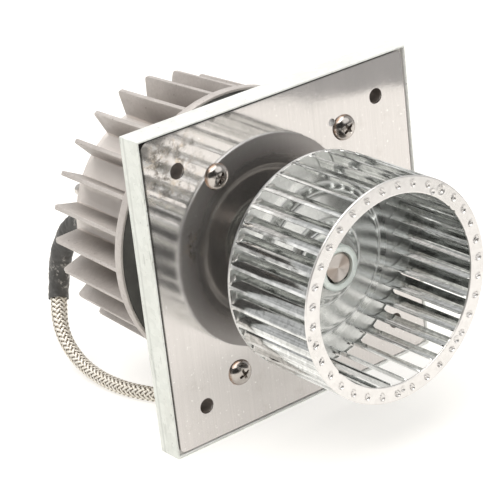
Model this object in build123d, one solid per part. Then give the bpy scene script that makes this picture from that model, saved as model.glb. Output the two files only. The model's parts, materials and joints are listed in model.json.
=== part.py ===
from build123d import *
import math
import os

os.makedirs("parts", exist_ok=True)

# ---------------------------------------------------------------------------
# Oven fan: finned motor, insulated square mounting pan, squirrel-cage wheel.
# Row frame: +Z up, +X to the right seen from the front, the wheel faces -Y.
# Origin: centre of the stainless face plate's front face, on the shaft axis.
# Most pieces are drawn about local Z (w), which points out of the front, and
# are turned so that w becomes -Y.  All sizes in millimetres.
# ---------------------------------------------------------------------------
PAN = 150.0            # square mounting pan, outside
PAN_T = 1.0            # galvanised sheet
PAN_LIP = 0.8          # pan wall stands this far proud of the face plate
PAN_BACK = -12.2       # outer face of the pan's back panel
PLATE = 146.6          # stainless face plate
PLATE_T = 0.9
PLATE_CORNER = 4.0
HOLE = 56.0            # corner holes at +-56 in both directions (112 spacing)
HOLE_R = 3.6
SCREW_X, SCREW_Z = 36.1, 47.1   # four screws that carry the motor
SCREW_R = 3.0
HEAD_R, HEAD_H = 6.0, 3.6
SHAFT_HOLE_R = 12.0
VENT = (29.6, 51.4)    # small vent hole beside one screw
VENT_R = 1.7

SHIELD_F = -38.1       # front face of the front end shield
RIM_F, RIM_B, RIM_R = -37.9, -42.7, 66.6
FIN_R, FIN_R_FRONT, FIN_END = 62.6, 64.6, -98.0
FIN_N = 24
BARREL_R, BARREL_R_FRONT, BORE_R = 48.0, 49.0, 42.0
FIN_TIP_T, FIN_ROOT_T = 2.3, 3.3

STAT_F, STAT_B, STAT_R, STAT_BORE = -57.5, -81.5, 42.0, 25.0
ROTOR_R = 24.6
SHAFT_R, JOURNAL_R, CORE_R = 7.0, 7.5, 9.0
SHAFT_TIP = 32.0
FLAT_A = -143.0        # direction of the shaft's flat, degrees
FLAT_D = 5.9           # its distance from the axis
BRG_OR, BRG_W = 17.5, 11.0
BRG_F = -41.5          # front face of the front bearing
BRG_R = -88.0          # front face of the rear bearing
REAR_F, REAR_FACE = -98.0, -101.5

WHEEL_R = 50.3
RING_IN = 42.8
RING_F, RING_B = 70.7, 69.8
DISC_F = 18.6         # front face of the back disc's outer annulus
DISC_T = 0.9
BLADES = 34
BLADE_T = 0.5
BLADE_A = 7.75         # angle of one blade's inner edge, degrees
HUB_R, HUB_F, HUB_B = 10.6, 33.0, 14.5
BORE_HUB = 7.25

FLOOR = -75.0
CORD_R = 3.6


def out(name, shape, local=True):
    if local:
        shape = Rot(90, 0, 0) * shape
    solids = list(shape.solids())
    shape = solids[0] if len(solids) == 1 else Compound(children=solids)
    export_step(shape, f"parts/{name}.step")


def cyl(r, w0, w1, x=0.0, y=0.0):
    return Pos(x, y, (w0 + w1) / 2) * Cylinder(r, abs(w1 - w0))


def tube(ro, ri, w0, w1, x=0.0, y=0.0):
    return cyl(ro, w0, w1, x, y) - cyl(ri, min(w0, w1) - 1, max(w0, w1) + 1, x, y)


def rev(points):
    """Solid of revolution about w from (radius, w) points."""
    pts = [(r, 0, w) for r, w in points]
    return revolve(make_face(Polyline(*pts, close=True)), Axis.Z, 360)


def box(x0, x1, y0, y1, w0, w1):
    return Pos((x0 + x1) / 2, (y0 + y1) / 2, (w0 + w1) / 2) * Box(x1 - x0, y1 - y0, w1 - w0)


def around(shape, n, a0=0.0):
    return [Rot(0, 0, a0 + 360.0 * i / n) * shape for i in range(n)]


def at_angle(shape, a):
    return Rot(0, 0, a) * shape


def group(items):
    return Compound(children=[s for i in items for s in i.solids()])


corners = [(sx * HOLE, sy * HOLE) for sx in (-1, 1) for sy in (-1, 1)]
screws = [(sx * SCREW_X, sy * SCREW_Z) for sx in (-1, 1) for sy in (-1, 1)]

# --- mounting pan ----------------------------------------------------------
h = PAN / 2
pan = box(-h, h, -h, h, PAN_BACK, PAN_LIP) - box(-h + PAN_T, h - PAN_T, -h + PAN_T, h - PAN_T, PAN_BACK + PAN_T, PAN_LIP + 1)
pan -= cyl(20.0, PAN_BACK - 1, PAN_BACK + PAN_T + 1)
for x, y in corners:
    pan -= cyl(HOLE_R, PAN_BACK - 1, PAN_BACK + 2, x, y)
for x, y in screws:
    pan -= cyl(SCREW_R + 0.3, PAN_BACK - 1, PAN_BACK + 2, x, y)
out("mounting_pan", pan)

# --- stainless face plate --------------------------------------------------
p = PLATE / 2
plate = Pos(0, 0, -PLATE_T) * extrude(RectangleRounded(PLATE, PLATE, PLATE_CORNER), PLATE_T)
plate -= cyl(SHAFT_HOLE_R, -5, 5)
for x, y in corners:
    plate -= cyl(HOLE_R, -5, 5, x, y)
for x, y in screws:
    plate -= cyl(SCREW_R + 0.3, -5, 5, x, y)
plate -= cyl(VENT_R, -5, 5, *VENT)
out("face_plate", plate)

# --- insulation and the sleeves that keep it from being crushed -------------
SL_R = 5.0
board = Pos(0, 0, PAN_BACK + PAN_T) * extrude(Rectangle(PAN - 2 * PAN_T - 0.4, PAN - 2 * PAN_T - 0.4), -PLATE_T - PAN_BACK - PAN_T)
board -= cyl(16.0, -20, 5)
for x, y in corners + screws:
    board -= cyl(SL_R, -20, 5, x, y)
out("insulation_board", board)
out("corner_sleeves", group([tube(SL_R, HOLE_R, PAN_BACK + PAN_T, -PLATE_T, x, y) for x, y in corners]))
out("screw_sleeves", group([tube(SL_R, SCREW_R + 0.3, PAN_BACK + PAN_T, -PLATE_T, x, y) for x, y in screws]))

# --- screws through the pan, their spacers and nuts --------------------------
SCREW_END = -49.5


def pan_screw():
    head = rev([(0, 0.0), (HEAD_R, 0.0), (HEAD_R, 0.9), (HEAD_R - 0.45, 1.75), (HEAD_R - 1.5, 2.6),
                (HEAD_R - 3.2, 3.25), (HEAD_R - 4.6, HEAD_H - 0.06), (0, HEAD_H)])
    shank = cyl(SCREW_R - 0.05, SCREW_END, 0.0) - (cyl(4, SCREW_END - 1, SCREW_END) )
    shank = chamfer(shank.edges().filter_by(GeomType.CIRCLE).sort_by(Axis.Z)[0], 0.6)
    recess = box(-2.3, 2.3, -0.55, 0.55, 1.6, 5) + box(-0.55, 0.55, -2.3, 2.3, 1.6, 5)
    return (head + shank) - recess


ps = pan_screw()
out("motor_screws", group([Pos(x, y, 0) * (Rot(0, 0, 20 + 35 * k) * ps) for k, (x, y) in enumerate(screws)]))
out("motor_spacers", group([tube(5.0, SCREW_R + 0.3, SHIELD_F, PAN_BACK, x, y) for x, y in screws]))


def hexagon(af, w0, w1, bore, x, y, rot=0):
    body = Pos(x, y, min(w0, w1)) * (Rot(0, 0, rot) * extrude(RegularPolygon(af / 2, 6, major_radius=False), abs(w1 - w0)))
    return body - cyl(bore, min(w0, w1) - 1, max(w0, w1) + 1, x, y) if bore else body


out("motor_nuts", group([hexagon(10.0, RIM_B - 5.0, RIM_B, SCREW_R, x, y, math.degrees(math.atan2(y, x)) + 30) for x, y in screws]))

# --- finned motor housing ----------------------------------------------------
body = rev([(BORE_R, FIN_END), (BARREL_R, FIN_END), (BARREL_R_FRONT, -49.0), (57.0, RIM_B), (RIM_R, RIM_B),
            (RIM_R, RIM_F), (65.2, RIM_F), (65.2, SHIELD_F - 2.0), (BORE_R, SHIELD_F - 2.0)])
fin2d = make_face(Polyline((BARREL_R - 1.5, -FIN_ROOT_T / 2), (68, -FIN_TIP_T / 2 + 0.28), (68, FIN_TIP_T / 2 - 0.28), (BARREL_R - 1.5, FIN_ROOT_T / 2), close=True))
fin = Pos(0, 0, FIN_END) * extrude(fin2d, RIM_B - FIN_END + 0.4)
env = rev([(0, FIN_END), (FIN_R - 1.6, FIN_END), (FIN_R - 0.45, FIN_END + 0.5), (FIN_R, FIN_END + 1.6),
           (FIN_R_FRONT, RIM_B + 0.4), (0, RIM_B + 0.4)])
fin = fin & env
fins = group(around(fin, FIN_N))
body = body + [f for f in fins.solids()]
for k in range(4):
    a = math.radians(97.5 + 90 * k)
    body -= cyl(1.65, RIM_F + 1, -46.6, 51.5 * math.cos(a), 51.5 * math.sin(a))
for k in range(6):
    a = math.radians(37.5 + 60 * k)
    body -= cyl(1.25, FIN_END - 1, FIN_END + 8, 45.0 * math.cos(a), 45.0 * math.sin(a))
for x, y in screws:
    body -= cyl(SCREW_R + 0.3, RIM_B - 12, RIM_F + 1, x, y)
    body -= cyl(6.1, RIM_B - 12, RIM_B, x, y)      # spot face for the nut
out("motor_housing", body)

# --- front end shield (dark) with the bearing seat ----------------------------
shield = rev([(8.4, SHIELD_F), (65.0, SHIELD_F), (65.0, SHIELD_F - 2.0), (BORE_R - 0.05, SHIELD_F - 2.0), (BORE_R - 0.05, -44.0),
              (24.0, -44.0), (22.0, -52.5 + 0.5), (BRG_OR, -52.5 + 0.5), (BRG_OR, BRG_F),
              (14.3, BRG_F), (14.3, BRG_F + 0.6), (8.4, BRG_F + 0.6)])     # the shoulder clears the inner ring
for x, y in screws:
    shield -= cyl(SCREW_R + 0.3, -60, -30, x, y)
for k in range(4):
    a = math.radians(97.5 + 90 * k)
    x, y = 51.5 * math.cos(a), 51.5 * math.sin(a)
    shield -= cyl(2.1, -60, -30, x, y)
    shield -= Pos(x, y, SHIELD_F - 0.95) * Cone(2.1, 4.0, 1.9)
out("front_end_shield", shield)


def csk_screw(w_face, length):
    s = rev([(0, w_face), (3.85, w_face), (1.6, w_face - 1.8), (1.6, w_face - length), (0, w_face - length)])
    return s - (box(-1.6, 1.6, -0.4, 0.4, w_face - 1.1, w_face + 1) + box(-0.4, 0.4, -1.6, 1.6, w_face - 1.1, w_face + 1))


out("front_shield_screws", group([Pos(51.5 * math.cos(math.radians(97.5 + 90 * k)), 51.5 * math.sin(math.radians(97.5 + 90 * k)), 0)
                                  * csk_screw(SHIELD_F - 0.1, 8.2) for k in range(4)]))

# --- rear end shield ---------------------------------------------------------
CX, CY = -29.5, -3.0      # where the cable leaves the rear shield
rear = rev([(0, -101.0), (BRG_OR, -101.0), (BRG_OR, BRG_R), (19.6, BRG_R), (20.2, -98.0), (38.5, -98.0), (38.5, -94.5), (BORE_R - 0.05, -94.5),
            (BORE_R - 0.05, -98.0), (47.8, -98.0), (47.8, -100.7), (47.0, REAR_FACE), (20.2, REAR_FACE), (19.6, -104.6), (18.6, -105.4), (0, -105.4)])
GROM_R = 6.6
rear -= cyl(GROM_R, -110, -90, CX, CY)
for k in range(6):
    a = math.radians(37.5 + 60 * k)
    rear -= cyl(1.6, -110, -90, 45.0 * math.cos(a), 45.0 * math.sin(a))
rear -= cyl(2.0, -110, -90.0, 0, -33.0)      # tapped hole for the earth screw
out("rear_end_shield", rear)


def cap_screw(r, head_r, head_h, w_face, length, hexr):
    """Socket-head screw whose head stands on the rear face and points to -w."""
    s = cyl(head_r, w_face - head_h, w_face) + cyl(r, w_face, w_face + length)
    return s - Pos(0, 0, w_face - head_h) * extrude(RegularPolygon(hexr, 6), head_h * 0.55)


out("rear_shield_screws", group([Pos(45.0 * math.cos(math.radians(37.5 + 60 * k)), 45.0 * math.sin(math.radians(37.5 + 60 * k)), 0)
                                 * cap_screw(1.2, 2.7, 2.6, REAR_FACE, 10.5, 1.35) for k in range(6)]))
# earth screw with its ring terminal and the short lead into the grommet
out("earth_screw", Pos(0, -33.0, 0) * (cyl(4.0, REAR_FACE - 1.4 - 2.6, REAR_FACE - 1.4) + cyl(1.95, REAR_FACE - 1.4, -94.0)
                                     - box(-4, 4, -0.5, 0.5, REAR_FACE - 5, REAR_FACE - 2.9)))
out("earth_washer", tube(4.4, 2.15, REAR_FACE - 1.4, REAR_FACE, 0, -33.0))

# --- stator, windings, protector ----------------------------------------------
stator = tube(STAT_R, STAT_BORE, STAT_B, STAT_F)
SLOTS = 24
slot2d = make_face(Polyline((26.2, -1.0), (34.5, -2.1), (34.5, 2.1), (26.2, 1.0), close=True))
slot = Pos(0, 0, STAT_B - 1) * extrude(slot2d, STAT_F - STAT_B + 2) + box(24.0, 27.0, -0.7, 0.7, STAT_B - 1, STAT_F + 1)
stator = stator - group(around(slot, SLOTS))
out("stator_core", stator)
bar2d = make_face(Polyline((26.9, -0.9), (34.3, -1.9), (34.3, 1.9), (26.9, 0.9), close=True))
bar = Pos(0, 0, STAT_B - 0.6) * extrude(bar2d, STAT_F - STAT_B + 1.2)
end_f = rev([(26.6, STAT_F + 0.3), (36.5, STAT_F + 0.3), (37.6, STAT_F + 3.0), (36.6, STAT_F + 6.4), (33.5, STAT_F + 7.2), (29.0, STAT_F + 6.6), (27.0, STAT_F + 4.0)])
end_b = rev([(26.6, STAT_B - 0.3), (36.5, STAT_B - 0.3), (37.6, STAT_B - 3.0), (36.6, STAT_B - 6.0), (33.5, STAT_B - 6.8), (29.0, STAT_B - 6.2), (27.0, STAT_B - 4.0)])
wind = end_f + end_b + [s for s in group(around(bar, SLOTS)).solids()]
out("stator_windings", wind)
out("thermal_protector", at_angle(box(30.0, 36.0, -5.5, 5.5, STAT_B - 10.2, STAT_B - 6.9), 60))

# --- rotor ------------------------------------------------------------------
shaft = rev([(0, -99.4), (JOURNAL_R - 0.6, -99.4), (JOURNAL_R, -98.8), (JOURNAL_R, -87.9), (CORE_R, -87.9), (CORE_R, -52.6), (JOURNAL_R, -52.6),
             (JOURNAL_R, -34.0), (SHAFT_R, -34.0), (SHAFT_R, SHAFT_TIP - 0.7), (SHAFT_R - 0.7, SHAFT_TIP), (0, SHAFT_TIP)])
flat = at_angle(box(FLAT_D, 12, -12, 12, 6.0, SHAFT_TIP + 1), FLAT_A)
shaft -= flat
out("rotor_shaft", shaft)
out("rotor_core", tube(ROTOR_R, CORE_R, STAT_B, STAT_F))
out("rotor_end_rings", group([tube(23.6, 14.0, STAT_F, STAT_F + 2.6), tube(23.6, 14.0, STAT_B - 2.6, STAT_B)]))

# --- ball bearings ------------------------------------------------------------
PITCH_R, BALL_R, GROOVE_R = 12.5, 2.95, 3.02


def bearing(name, w0):
    w1 = w0 - BRG_W
    mid = (w0 + w1) / 2
    groove = revolve(Pos(PITCH_R, 0, mid) * (Rot(90, 0, 0) * Circle(GROOVE_R)), Axis.Z, 360)
    out(f"{name}_bearing_outer_ring", tube(BRG_OR, 14.2, w1, w0) - groove)
    out(f"{name}_bearing_inner_ring", tube(10.8, JOURNAL_R, w1, w0) - groove)
    out(f"{name}_bearing_balls", group(around(Pos(PITCH_R, 0, mid) * Sphere(BALL_R), 8, 11.0)))


bearing("front", BRG_F)
bearing("rear", BRG_R)
out("preload_washer", tube(17.2, 13.2, -100.6, -99.2))
# rubber ring on the shaft that keeps hot air and grease out of the front bearing
out("shaft_seal_ring", rev([(JOURNAL_R, SHIELD_F + 0.4), (11.5, SHIELD_F + 0.3), (9.6, SHIELD_F + 1.8), (9.6, -34.3), (JOURNAL_R, -34.3)]))

# --- wheel ---------------------------------------------------------------------
t = DISC_T
disc = rev([(HUB_R, 25.6), (15.6, 25.4), (17.0, 24.9), (19.8, 22.6), (31.6, 22.0), (33.2, 21.3), (35.3, DISC_F + 0.2), (36.6, DISC_F), (WHEEL_R - 0.3, DISC_F),
            (WHEEL_R - 0.3, DISC_F - t), (36.2, DISC_F - t), (34.8, DISC_F - t + 0.25), (32.7, 21.3 - t), (31.2, 22.0 - t), (19.5, 22.6 - t),
            (16.6, 24.9 - t), (15.2, 25.4 - t), (HUB_R, 25.6 - t)])
ring = rev([(RING_IN, RING_B), (WHEEL_R, RING_B), (WHEEL_R, RING_F - 0.5), (WHEEL_R - 0.15, RING_F - 0.15), (WHEEL_R - 0.5, RING_F), (RING_IN + 0.2, RING_F), (RING_IN, RING_F - 0.2)])
hub = rev([(BORE_HUB, HUB_B), (HUB_R - 0.6, HUB_B), (HUB_R, HUB_B + 0.6), (HUB_R, HUB_F - 0.6), (HUB_R - 0.6, HUB_F), (BORE_HUB + 0.4, HUB_F), (BORE_HUB, HUB_F - 0.4)])
SS_W = 29.5
ss_hole = at_angle(Pos(9.0, 0, SS_W) * (Rot(0, 90, 0) * Cylinder(2.0, 8.0)), FLAT_A)
ss_hole2 = at_angle(Pos(9.0, 0, SS_W) * (Rot(0, 90, 0) * Cylinder(2.0, 8.0)), FLAT_A + 90)
hub = hub - ss_hole - ss_hole2
out("wheel_back_disc", disc)
out("wheel_front_ring", ring)
out("wheel_hub", hub)


def grub(angle, r0):
    s = Pos((r0 + 10.0) / 2, 0, SS_W) * (Rot(0, 90, 0) * Cylinder(1.95, 10.0 - r0))
    s -= Pos(8.4, 0, SS_W) * (Rot(0, 90, 0) * extrude(RegularPolygon(1.15, 6), 3.0))
    return at_angle(s, angle)


out("hub_set_screws", group([grub(FLAT_A, FLAT_D), grub(FLAT_A + 90, SHAFT_R)]))

# forward-curved blade: inner edge nearly radial, outer edge 8.15 degrees further on and leaning
# towards +angle
a_in, a_mid, a_out = (43.0, 0.0), (47.37, 2.52), (49.5, 7.09)


def blade_section():
    c = ThreePointArc(a_in, a_mid, a_out)
    o1, o2 = [], []
    for u in (0.0, 0.5, 1.0):
        q, d = c @ u, c % u
        n = Vector(-d.Y, d.X, 0)
        o1.append(q + n * (BLADE_T / 2))
        o2.append(q - n * (BLADE_T / 2))
    e1 = ThreePointArc(o1[0], o1[1], o1[2])
    e2 = ThreePointArc(o2[0], o2[1], o2[2])
    return make_face([e1, Line(o1[2], o2[2]), e2, Line(o2[0], o1[0])])


blade = Pos(0, 0, DISC_F) * extrude(blade_section(), RING_B - DISC_F)
# the blade's inner corner at the front ring is rounded
corner = rev([(42.0, RING_B - 2.2), (45.1, RING_B - 2.2), (45.1, RING_B + 0.5), (42.0, RING_B + 0.5)])
corner -= revolve(Pos(45.1, 0, RING_B - 2.2) * (Rot(90, 0, 0) * Circle(2.2)), Axis.Z, 360)
blade = blade - corner
out("wheel_blades", group(around(blade, BLADES, BLADE_A)))

# --- cable: grommet, shrink sleeve, braided lead, coil, connector -----------------
# The lead leaves the rear shield to the left of the bearing cover, bends down,
# lies on the surface under the pan's lower edge (z = FLOOR) and ends in a coil.
EXIT_Y = 104.2
LAY = FLOOR + CORD_R
COIL_C = (97.0, 113.0)
COIL_OUT, COIL_IN = 43.6, 36.4     # centre lines of the two turns
COIL_Z = FLOOR + 4.4               # the tie passes under the turns
route = [(-29.5, 97.0, -3.0), (-29.5, 112.8, -3.0), (-34.2, 126.8, -9.8), (-38.1, 134.8, -23.4), (-43.4, 134.2, -43.9),
         (-53.3, 121.3, -57.6), (-55.4, 105.1, -67.7), (-55.3, 86.2, LAY), (-53.2, 66.5, LAY), (-46.4, 49.3, LAY),
         (-35.5, 34.0, LAY), (-20.0, 24.5, LAY), (-1.5, 21.8, LAY), (17.0, 24.3, LAY), (34.0, 32.3, LAY), (47.8, 45.2, LAY),
         (57.6, 61.0, LAY + 0.1), (61.0, 79.0, COIL_Z), (55.6, 92.6, COIL_Z)]


def path_of(points):
    radii = []
    for i in range(1, len(points) - 1):
        a, b, c = (Vector(*points[j]) for j in (i - 1, i, i + 1))
        u, v = b - a, c - b
        turn = u.get_angle(v)
        radii.append(0.45 * min(u.length, v.length) / math.tan(math.radians(turn / 2)))
    return FilletPolyline(*[Vector(*q) for q in points], radius=radii), radii


def sweep_tube(path, r):
    plane = Plane(origin=path @ 0, z_dir=path % 0)
    return sweep(plane * Circle(r), path=path)


def report(name, path, solid, radii, r):
    runs = round(path.length, 1)
    print(name, "radii", [round(q, 1) for q in radii], "length", runs, "volume", round(solid.volume), "section x length", round(math.pi * r * r * path.length))


path, radii = path_of(route)
cord = sweep_tube(path, CORD_R)
report("motor_cable", path, cord, radii, CORD_R)
coil = Pos(COIL_C[0], COIL_C[1], COIL_Z) * (Cylinder(COIL_OUT + CORD_R, 2 * CORD_R + 0.2) - Cylinder(COIL_IN - CORD_R, 4 * CORD_R))
out("motor_cable", cord - coil, local=False)

# shrink sleeve over the first stretch, starting at the grommet
SLEEVE_R = 5.5
end = tuple(route[4][i] + (route[5][i] - route[4][i]) * 0.12 for i in range(3))
spts = [(-29.5, EXIT_Y + 0.1, -3.0)] + route[1:4] + [end]
_, rr = path_of(spts)
# the sleeve follows the lead's own arcs
sleeve_path = FilletPolyline(*[Vector(*q) for q in spts], radius=radii[:3])
sleeve = sweep_tube(sleeve_path, SLEEVE_R) - cord
out("cable_shrink_sleeve", sleeve, local=False)
grommet = rev([(CORD_R + 0.05, -97.0), (GROM_R - 0.05, -97.0), (GROM_R - 0.05, REAR_FACE), (8.8, REAR_FACE), (8.2, REAR_FACE - 1.8), (SLEEVE_R, -EXIT_Y), (CORD_R + 0.05, -EXIT_Y)])
out("cable_grommet", Pos(CX, CY, 0) * grommet)

out("cable_coil", coil, local=False)
# strap round both turns
mid = (COIL_OUT + COIL_IN) / 2
w2, h2, tie_t = COIL_OUT - COIL_IN + 2 * CORD_R + 0.3, 2 * CORD_R + 0.3, 0.6
tie = Box(w2 + 2 * tie_t, 5.0, h2 + 2 * tie_t) - Box(w2, 7.0, h2)
tie += Pos(w2 / 2 + tie_t + 0.9, 0, 1.2) * Box(1.8, 6.4, 4.2)
out("coil_tie", Pos(COIL_C[0], COIL_C[1], COIL_Z) * (Rot(0, 0, 62) * (Pos(mid, 0, 0) * tie)), local=False)

# the lead's end turns in from the inner turn to the connector inside the coil
TAIL_R, TAIL_TURN = 24.0, 118.0
half = math.radians(TAIL_TURN / 8)
tc = (COIL_C[0] + COIL_IN - TAIL_R, COIL_C[1])
rr, run = TAIL_R / math.cos(half), TAIL_R * math.tan(half)
a_end = math.radians(-TAIL_TURN)
tail_dir = (math.sin(a_end), -math.cos(a_end))
tail_end = (tc[0] + TAIL_R * math.cos(a_end) + run * tail_dir[0], tc[1] + TAIL_R * math.sin(a_end) + run * tail_dir[1])
tail = [(COIL_C[0] + COIL_IN, COIL_C[1] + run, COIL_Z)]
tail += [(tc[0] + rr * math.cos(-half * (2 * k + 1)), tc[1] + rr * math.sin(-half * (2 * k + 1)), COIL_Z) for k in range(4)]
tail += [(tail_end[0], tail_end[1], COIL_Z)]
tpath, tradii = path_of(tail)
tail_tube = sweep_tube(tpath, CORD_R)
report("cable_tail", tpath, tail_tube, tradii, CORD_R)
out("cable_tail", tail_tube - coil, local=False)

ANG = math.degrees(math.atan2(tail_dir[1], tail_dir[0]))


def along(shape, dist, z):
    """Place a shape drawn about +X at dist along the lead's last direction."""
    return Pos(tail_end[0] + dist * tail_dir[0], tail_end[1] + dist * tail_dir[1], z) * (Rot(0, 0, ANG) * shape)


SL2 = 8.0
end_sleeve = Rot(0, 90, 0) * (Cylinder(4.3, SL2))
out("cable_end_sleeve", along(end_sleeve, SL2 / 2, COIL_Z), local=False)
KL, KW, KH = 14.0, 14.4, 9.6
kz = FLOOR + KH / 2
house = fillet(Box(KL, KW, KH).edges().filter_by(Axis.X), 0.8)
for i in (-1, 0, 1):
    house -= Pos(3.0, i * 4.5, 0) * Box(KL - 4.0, 3.3, 6.0)
house += Pos(-1.0, 0, KH / 2 + 0.7) * Box(8.0, 4.6, 1.4)
out("connector_housing", along(house, SL2 + KL / 2, kz), local=False)
pins = group([Pos(1.5, i * 4.5, 0) * (Rot(0, 90, 0) * Cylinder(1.05, 7.0)) for i in (-1, 0, 1)])
out("connector_pins", along(pins, SL2 + KL / 2, kz), local=False)
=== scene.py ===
import json
import math

import bmesh
import bpy
import numpy as np
from mathutils import Matrix, Vector, noise


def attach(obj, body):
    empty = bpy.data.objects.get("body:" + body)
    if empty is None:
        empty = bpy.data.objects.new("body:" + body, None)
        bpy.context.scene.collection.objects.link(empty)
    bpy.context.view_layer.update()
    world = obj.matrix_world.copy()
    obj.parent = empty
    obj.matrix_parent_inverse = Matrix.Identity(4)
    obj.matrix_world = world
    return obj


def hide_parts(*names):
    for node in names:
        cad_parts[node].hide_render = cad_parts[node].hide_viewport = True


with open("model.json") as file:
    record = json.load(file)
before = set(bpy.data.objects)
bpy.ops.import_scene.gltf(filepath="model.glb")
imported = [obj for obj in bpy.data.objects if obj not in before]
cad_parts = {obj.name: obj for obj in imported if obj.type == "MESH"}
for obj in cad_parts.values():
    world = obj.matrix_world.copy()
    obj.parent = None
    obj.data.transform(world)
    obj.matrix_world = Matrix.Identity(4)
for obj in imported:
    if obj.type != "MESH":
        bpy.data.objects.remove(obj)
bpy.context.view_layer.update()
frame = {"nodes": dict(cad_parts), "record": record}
scene = bpy.context.scene
MM = 0.001

# ---------------------------------------------------------------------------
# camera: the photograph's viewing angle
# ---------------------------------------------------------------------------
CAM_AT = Vector((-0.5553, -0.7366, 0.3961))
CAM_RIGHT = Vector((0.77884, -0.61833, -0.10521))
CAM_UP = Vector((0.32131, 0.24927, 0.91358))
CAM_FWD = Vector((0.53867, 0.74534, -0.39281))
cam_data = bpy.data.cameras.new("camera")
cam_data.lens = 162.0
cam_data.sensor_width = 36.0
cam_data.clip_start, cam_data.clip_end = 0.01, 50.0
cam = bpy.data.objects.new("camera", cam_data)
scene.collection.objects.link(cam)
rot = Matrix((CAM_RIGHT, CAM_UP, -CAM_FWD)).transposed()
cam.matrix_world = Matrix.Translation(CAM_AT) @ rot.to_4x4()
scene.camera = cam
scene.view_settings.view_transform = "Standard"
scene.view_settings.look = "None"
scene.view_settings.exposure = 0.0

# ---------------------------------------------------------------------------
# sizes repeated from the model, in millimetres
# ---------------------------------------------------------------------------
FLOOR = -75.0
CORD_R = 3.6
LAY = FLOOR + CORD_R
COIL_C = (97.0, 113.0)
COIL_OUT, COIL_IN = 43.6, 36.4
COIL_Z = FLOOR + 4.4
WHEEL_R, RING_IN, RING_F, RING_B = 50.3, 42.8, 70.7, 69.8
DISC_F, DISC_T = 18.6, 0.9
BLADES, BLADE_T, BLADE_A = 34, 0.5, 7.75
SCREWS = [(sx * 36.1, sy * 47.1) for sx in (-1, 1) for sy in (-1, 1)]


def loc(x, y, w):
    """Point of the pieces drawn about the shaft: w points out of the front."""
    return (x * MM, -w * MM, y * MM)


def pol(r, a, w):
    return loc(r * math.cos(a), r * math.sin(a), w)


# ---------------------------------------------------------------------------
# materials
# ---------------------------------------------------------------------------
class Mat:
    def __init__(self, name, **uniform):
        self.m = bpy.data.materials.new(name)
        self.m.use_nodes = True
        self.t = self.m.node_tree
        self.t.nodes.clear()
        self.out = self.t.nodes.new("ShaderNodeOutputMaterial")
        self.b = self.t.nodes.new("ShaderNodeBsdfPrincipled")
        self.t.links.new(self.b.outputs[0], self.out.inputs[0])
        self.tc = self.t.nodes.new("ShaderNodeTexCoord")
        for k, v in uniform.items():
            self.b.inputs[k.replace("_", " ")].default_value = v

    def put(self, socket, value):
        s = self.b.inputs[socket]
        if isinstance(value, bpy.types.NodeSocket):
            self.t.links.new(value, s)
        else:
            s.default_value = value
        return self

    def node(self, kind, **props):
        n = self.t.nodes.new("ShaderNode" + kind)
        for k, v in props.items():
            setattr(n, k, v)
        return n

    def feed(self, socket, value):
        if isinstance(value, bpy.types.NodeSocket):
            self.t.links.new(value, socket)
        elif value is not None:
            socket.default_value = value

    def at(self, scale=(1, 1, 1), rotation=(0, 0, 0), location=(0, 0, 0), source=None):
        n = self.node("Mapping")
        self.feed(n.inputs["Vector"], source or self.tc.outputs["Object"])
        n.inputs["Scale"].default_value = scale
        n.inputs["Rotation"].default_value = rotation
        n.inputs["Location"].default_value = location
        return n.outputs[0]

    def noise(self, scale, detail=3.0, rough=0.55, vec=None, distort=0.0):
        n = self.node("TexNoise")
        self.feed(n.inputs["Vector"], vec or self.tc.outputs["Object"])
        n.inputs["Scale"].default_value = scale
        n.inputs["Detail"].default_value = detail
        n.inputs["Roughness"].default_value = rough
        n.inputs["Distortion"].default_value = distort
        return n.outputs["Fac"]

    def cells(self, scale, vec=None, feature="F1", out="Color", random=1.0):
        n = self.node("TexVoronoi", feature=feature)
        self.feed(n.inputs["Vector"], vec or self.tc.outputs["Object"])
        n.inputs["Scale"].default_value = scale
        n.inputs["Randomness"].default_value = random
        return n.outputs[out]

    def span(self, value, a, b, c, d, smooth=False):
        n = self.node("MapRange")
        n.interpolation_type = "SMOOTHSTEP" if smooth else "LINEAR"
        self.feed(n.inputs["Value"], value)
        for i, v in zip(("From Min", "From Max", "To Min", "To Max"), (a, b, c, d)):
            n.inputs[i].default_value = v
        return n.outputs["Result"]

    def calc(self, op, a, b=None, c=None, clamp=False):
        n = self.node("Math", operation=op, use_clamp=clamp)
        for s, v in zip(n.inputs, (a, b, c)):
            self.feed(s, v)
        return n.outputs[0]

    def mix(self, fac, a, b, blend="MIX"):
        n = self.node("Mix", data_type="RGBA", blend_type=blend, clamp_factor=True)
        self.feed(n.inputs[0], fac)
        self.feed(n.inputs[6], a)
        self.feed(n.inputs[7], b)
        return n.outputs[2]

    def ramp(self, fac, *stops):
        n = self.node("ValToRGB")
        self.feed(n.inputs[0], fac)
        e = n.color_ramp.elements
        while len(e) < len(stops):
            e.new(0.5)
        for s, (p, c) in zip(e, stops):
            s.position = p
            s.color = c if len(c) == 4 else (*c, 1.0)
        return n.outputs[0]

    def bump(self, height, distance, strength=1.0, under=None):
        n = self.node("Bump")
        n.inputs["Strength"].default_value = strength
        n.inputs["Distance"].default_value = distance
        self.feed(n.inputs["Height"], height)
        if under is not None:
            self.feed(n.inputs["Normal"], under)
        return n.outputs[0]

    def attr(self, name, out="Fac"):
        return self.node("Attribute", attribute_name=name).outputs[out]

    def split(self, vec):
        n = self.node("SeparateXYZ")
        self.feed(n.inputs[0], vec)
        return n.outputs


def rgb(r, g, b):
    return (r, g, b, 1.0)


def srgb(r, g, b):
    return tuple(((c / 255.0 + 0.055) / 1.055) ** 2.4 if c > 10 else c / 255.0 / 12.92 for c in (r, g, b)) + (1.0,)


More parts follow.
